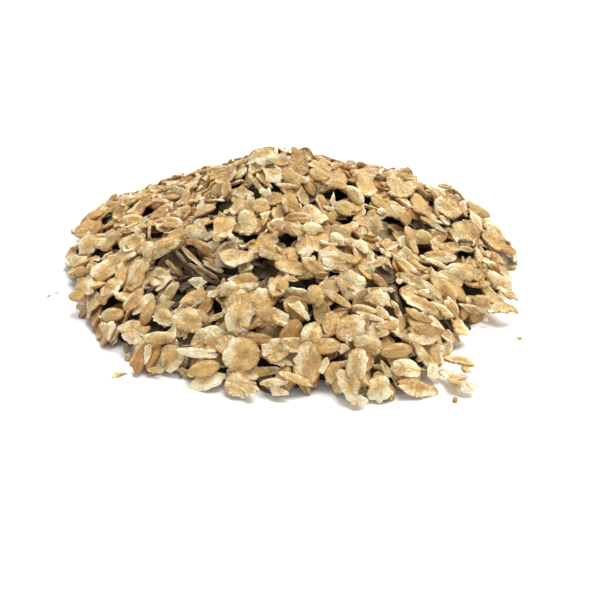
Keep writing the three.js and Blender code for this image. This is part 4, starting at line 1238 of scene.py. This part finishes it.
def flake_facts(k):
    """What the finish of a flake is worked out from: its own values and the noises over it. The
    third coordinate of its place is its seed, so that no two flakes look alike."""
    facts = SimpleNamespace(place=k.read("flake_place", "Vector"), deep=k.read("flake_deep", "Fac"))
    facts.tone, facts.pale, facts.cracks = k.parts(k.read("flake_look", "Vector"))
    facts.edge, facts.torn, facts.groove = k.parts(k.read("flake_side", "Vector"))
    along, across, seed = k.parts(facts.place)
    for key, settings in PATTERNS.items():
        setattr(facts, key, k.noise(facts.place, **settings))
    facts.grainwise = k.stretched(facts.place, **ALONG_GRAIN)
    facts.each = k.stretched(facts.place, **EACH_FLAKE)
    around = k.scaled(k.vector("NORMALIZE", k.put_together(along, across, 0.0)), ROUND_THE_EDGE)
    lift = k.put_together(0.0, 0.0, k.math("ADD", seed, k.math("MULTIPLY", facts.edge, EDGE_LIFT)))
    inwards = k.vector("ADD", around, lift)
    facts.streaks = k.stretched(inwards, **STREAKS)
    facts.spread = k.stretched(inwards, **SPLITS)
    facts.blotches = k.run("blotches", facts.blotchy)
    return facts


def bran_skin(k, facts, colours):
    """Bran: a tone for each flake, unevenly laid over it, with fine lines along it, a duller skin on
    some flakes, a darker groove along whole grains, and blotches."""
    tone = k.math("ADD", k.swayed(facts.tone, facts, TONE_SWAY), 0.0, clamp=True)
    skin = k.blend(tone, full(colours.brown_bran), full(colours.bran))
    skin = k.cover("straw", skin, full(colours.straw_bran), k.run("straw", facts.each))
    skin = k.cover("groove", skin, full(colours.brown_bran), facts.groove)
    return k.cover("blotches", skin, full(colours.brown_bran), facts.blotches)


def floury_reach(k, facts):
    """How far the floury inside shows: most along the torn edge, drawn inwards by streaks, in
    patches, and more on a pale flake."""
    sound, cracked = REACH_STREAKS
    streaky = k.math("ADD", sound, k.math("MULTIPLY", facts.cracks, cracked))
    streaky = k.math("MULTIPLY", k.centred(facts.streaks), streaky)
    drawn_in = k.math("MULTIPLY", streaky, k.math("ADD", facts.edge, STREAKS_AT_MIDDLE))
    reach = k.math("ADD", k.weighed(facts, REACH_FROM), drawn_in)
    reach = k.swayed(reach, facts, REACH_SWAY)
    return k.math("ADD", reach, k.math("MULTIPLY", facts.pale, REACH_PALE))


def cracks_share(k, facts):
    """Veins where the bran has split over part of the flake, along the middle value of a noise, and
    splits that run in from the edge and widen towards it."""
    vein = k.run("vein", k.math("ABSOLUTE", k.centred(facts.crazed)))
    where = k.math("ADD", facts.veined, k.math("MULTIPLY", facts.cracks, VEINED_BY_CRACKS))
    vein = k.math("MULTIPLY", k.math("SUBTRACT", 1.0, vein), k.run("veined", where))
    width = k.math("MULTIPLY", k.math("MULTIPLY", facts.cracks, facts.edge), SPLIT_WIDTH)
    width = k.math("ADD", width, TINY)
    split = k.run("split", k.math("DIVIDE", k.math("ABSOLUTE", k.centred(facts.spread)), width))
    split = k.math("MULTIPLY", k.math("SUBTRACT", 1.0, split), k.run("split_off_middle", facts.edge))
    return k.math("MAXIMUM", vein, split)


def grain_material(colours):
    """Bran that runs from brown to golden, with the floury inside showing along the torn edge, in
    streaked patches and in cracks, a browner line along the sound edge that is partly painted shade at
    the outline, fine grit, and painted shade on the flakes that lie below the top layer."""
    k = Nodes("rolled_wheat")
    facts = flake_facts(k)
    reach = floury_reach(k, facts)
    cracks = k.math("MULTIPLY", cracks_share(k, facts), CRACK_STRENGTH)
    facts.floury = k.math("MAXIMUM", k.run("floury", reach), cracks)

    skin = bran_skin(k, facts, colours)
    skin = k.cover("light_bran", skin, full(colours.light_bran), k.run("light_bran", reach))
    cream = k.blend(k.run("cream", facts.fine), full(colours.dull_cream), full(colours.cream))
    skin = k.cover("floury", skin, cream, facts.floury)
    # browner edge: partly the bran's own browner rim, partly painted shade along each flake's outline
    line = k.math("MULTIPLY", k.run("brown_edge_and_shade", facts.edge), k.math("SUBTRACT", 1.0, facts.floury))
    skin = k.cover("brown_edge_and_shade", skin, full(colours.brown_bran), line)
    skin = k.cover("grit", skin, full(colours.brown_bran), k.run("grit", facts.grit))
    # painted shade: flakes that lie deeper under the heap's surface are darkened towards the gap colour
    skin = k.cover("dark", skin, full(colours.gap), k.run("dark", facts.deep))

    bump = k.add("ShaderNodeBump", {
        "Height": k.weighed(facts, RELIEF), "Strength": SKIN_RELIEF, "Distance": RELIEF_DEPTH})
    rough = k.math("ADD", SKIN_ROUGH, k.math("MULTIPLY", facts.floury, FLOUR_ROUGHER))
    return k.finish(k.add("ShaderNodeBsdfPrincipled", {
        "Base Color": skin, "Normal": bump.outputs[0], "Specular IOR Level": SKIN_SHINE,
        "Roughness": rough}))


def core_shade_material(colours):
    """A rough, near black brown: painted shade for the flakes inside the heap, lighter in patches."""
    k = Nodes("heap_painted_shade")
    place = k.add("ShaderNodeTexCoord").outputs["Object"]
    patch = k.noise(place, **CORE_GRAIN)
    # painted shade: the core is near black, from the gap colour to a few times lighter in patches
    lighter = full(tuple(channel * CORE_LIGHTER for channel in colours.gap))
    skin = k.blend(patch, lighter, full(colours.gap))
    bump = k.add("ShaderNodeBump", {
        "Height": patch, "Strength": CORE_RELIEF, "Distance": RELIEF_DEPTH})
    shader = k.add("ShaderNodeBsdfPrincipled", {
        "Base Color": skin, "Roughness": DARK_ROUGH, "Specular IOR Level": CORE_SHINE,
        "Normal": bump.outputs[0]})
    return k.finish(shader)


# ---- operators ----


def sizes():
    """The heap's sizes, as they are set in the scene."""
    return bpy.context.scene.wheat_heap_sizes


def colours():
    """The grain's colours, as they are set in the scene."""
    return bpy.context.scene.wheat_heap_colours


def heap_form():
    """The heap's form with its hollows in their places, and the view that tells where they are."""
    form, view = HeapForm(sizes()), View()
    hollows = []
    for spot in HOLLOWS:
        x, y, _ = view.on_heap(form, spot.across, spot.down)
        hollows.append((x, y, (spot.half_width + spot.half_height) / HOLLOW_PIXELS))
    form.hollows = hollows
    return form, view


def keep(piece):
    """Ties a piece to the part that it belongs to."""
    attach(piece, "root")
    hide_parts(NODE)


class WHEAT_OT_core(bpy.types.Operator):
    """Build the core that the flakes lie on, painted near black as the shade inside the heap"""

    bl_idname = "wheat.core"
    bl_label = "Core"

    def execute(self, context):
        keep(build_core(heap_form()[0], core_shade_material(colours())))
        return {"FINISHED"}


class WHEAT_OT_flakes(bpy.types.Operator):
    """Lay the flakes over the core, one piece for each kind"""

    bl_idname = "wheat.flakes"
    bl_label = "Flakes"

    def execute(self, context):
        form, view = heap_form()
        bed = Bed(form)
        heap = lay_heap(form, view, bed, sizes().flakes)
        seen = lay_seen(form, view, bed, STANDING_OUT, turned=TURN_TO_VIEW, miss=CREST_MISS, seed=SEED + 2)
        laid = joined(heap, seen)
        material = grain_material(colours())
        for kind, facts in KINDS.items():
            part = laid.picked(laid.flakes.kind == kind)
            if not len(part.flakes):
                raise RuntimeError(f"no flake of kind {kind} was laid")
            keep(build_flakes(kind, part, facts["spokes"], material))
        return {"FINISHED"}


class WHEAT_OT_beside(bpy.types.Operator):
    """Lay the few flakes and crumbs beside the heap"""

    bl_idname = "wheat.beside"
    bl_label = "Flakes beside it"

    def execute(self, context):
        form, view = heap_form()
        bed = Bed(form)
        for kind in KINDS:
            mesh = bpy.data.objects[kind].data
            points = np.empty(len(mesh.vertices) * 3, np.float32)
            mesh.vertices.foreach_get("co", points)
            bed.mark(*(points.reshape(-1, 3).T.astype(float) / MM))
        laid = lay_seen(form, view, bed, BESIDE, turned=0.0, miss=0.0, seed=SEED + 3)
        keep(build_flakes("loose_flakes", laid, LOOSE_SPOKES, bpy.data.materials["rolled_wheat"]))
        return {"FINISHED"}


def build_floor(colour):
    """A flat square, and four sides that rise from it to a wider one."""
    mesh = bpy.data.meshes.new("floor")
    corners = ((-1, -1), (1, -1), (1, 1), (-1, 1))
    squares = ((FLOOR_FLAT_REACH, 0.0), (FLOOR_REACH, FLOOR_RISE))
    points = [(x * reach, y * reach, z) for reach, z in squares for x, y in corners]
    sides = [(k + 4, (k + 1) % 4 + 4, (k + 1) % 4, k) for k in range(4)]
    mesh.from_pydata(points, [], [(0, 1, 2, 3), *sides])
    k = Nodes("pale_floor")
    mesh.materials.append(k.finish(k.add("ShaderNodeBsdfPrincipled", {
        "Base Color": full(colour), "Roughness": 0.85, "Specular IOR Level": 0.1})))
    floor = bpy.data.objects.new("floor", mesh)
    bpy.context.scene.collection.objects.link(floor)
    return floor


def set_light(scene, look):
    """An even light from all round, and a wide soft one from above, a little from behind and from
    the right."""
    world = bpy.data.worlds.new("soft_studio")
    world.use_nodes = True
    background = world.node_tree.nodes["Background"].inputs
    background["Strength"].default_value = look.sky
    background["Color"].default_value = full((1, 1, 1))
    scene.world = world
    lamp = bpy.data.lights.new("key", "SUN")
    lamp.energy = look.sun
    lamp.angle = KEY_ANGLE
    key = bpy.data.objects.new("key", lamp)
    key.rotation_euler = KEY_TURN
    scene.collection.objects.link(key)


def set_camera(scene):
    """The camera of the picture, with the plain view transform."""
    lens = bpy.data.cameras.new("camera")
    lens.sensor_width = SENSOR_WIDTH
    lens.lens = SENSOR_WIDTH * FOCAL_PIXELS / (2 * PICTURE_MIDDLE)
    lens.clip_start = CLIP_START
    lens.clip_end = CLIP_END
    camera = bpy.data.objects.new("camera", lens)
    camera.location = View().eye * MM
    camera.rotation_euler = (math.pi / 2 - VIEW_TILT, 0, 0)
    scene.collection.objects.link(camera)
    scene.camera = camera
    scene.view_settings.view_transform = "Standard"
    scene.view_settings.look = "None"


class WHEAT_OT_stage(bpy.types.Operator):
    """Set up the pale floor, the soft light and the camera"""

    bl_idname = "wheat.stage"
    bl_label = "Stage"

    def execute(self, context):
        look = context.scene.wheat_heap_stage
        floor = build_floor(look.floor)
        set_light(context.scene, look)
        set_camera(context.scene)
        return {"FINISHED"}


class WHEAT_PT_heap(bpy.types.Panel):
    """The heap's sizes, colours and steps"""

    bl_label = "Wheat heap"
    bl_space_type = "VIEW_3D"
    bl_region_type = "UI"
    bl_category = "Wheat heap"

    def draw(self, context):
        for group in ("wheat_heap_sizes", "wheat_heap_colours", "wheat_heap_stage"):
            settings = getattr(context.scene, group)
            for key in settings.__annotations__:
                self.layout.prop(settings, key)
        for step in STEPS:
            self.layout.operator(f"wheat.{step}")


STEPS = ("core", "flakes", "beside", "stage")
GROUPS = {
    "wheat_heap_sizes": WheatHeapSizes,
    "wheat_heap_colours": WheatHeapColours,
    "wheat_heap_stage": WheatHeapStage,
}
CLASSES = (*GROUPS.values(), WHEAT_OT_core, WHEAT_OT_flakes, WHEAT_OT_beside, WHEAT_OT_stage, WHEAT_PT_heap)


def register():
    for made in CLASSES:
        bpy.utils.register_class(made)
    for key, group in GROUPS.items():
        setattr(bpy.types.Scene, key, bpy.props.PointerProperty(type=group))


def unregister():
    for key in GROUPS:
        delattr(bpy.types.Scene, key)
    for made in reversed(CLASSES):
        bpy.utils.unregister_class(made)


def main():
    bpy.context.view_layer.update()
    register()
    for step in STEPS:
        getattr(bpy.ops.wheat, step)()


if __name__ == "__main__":
    main()
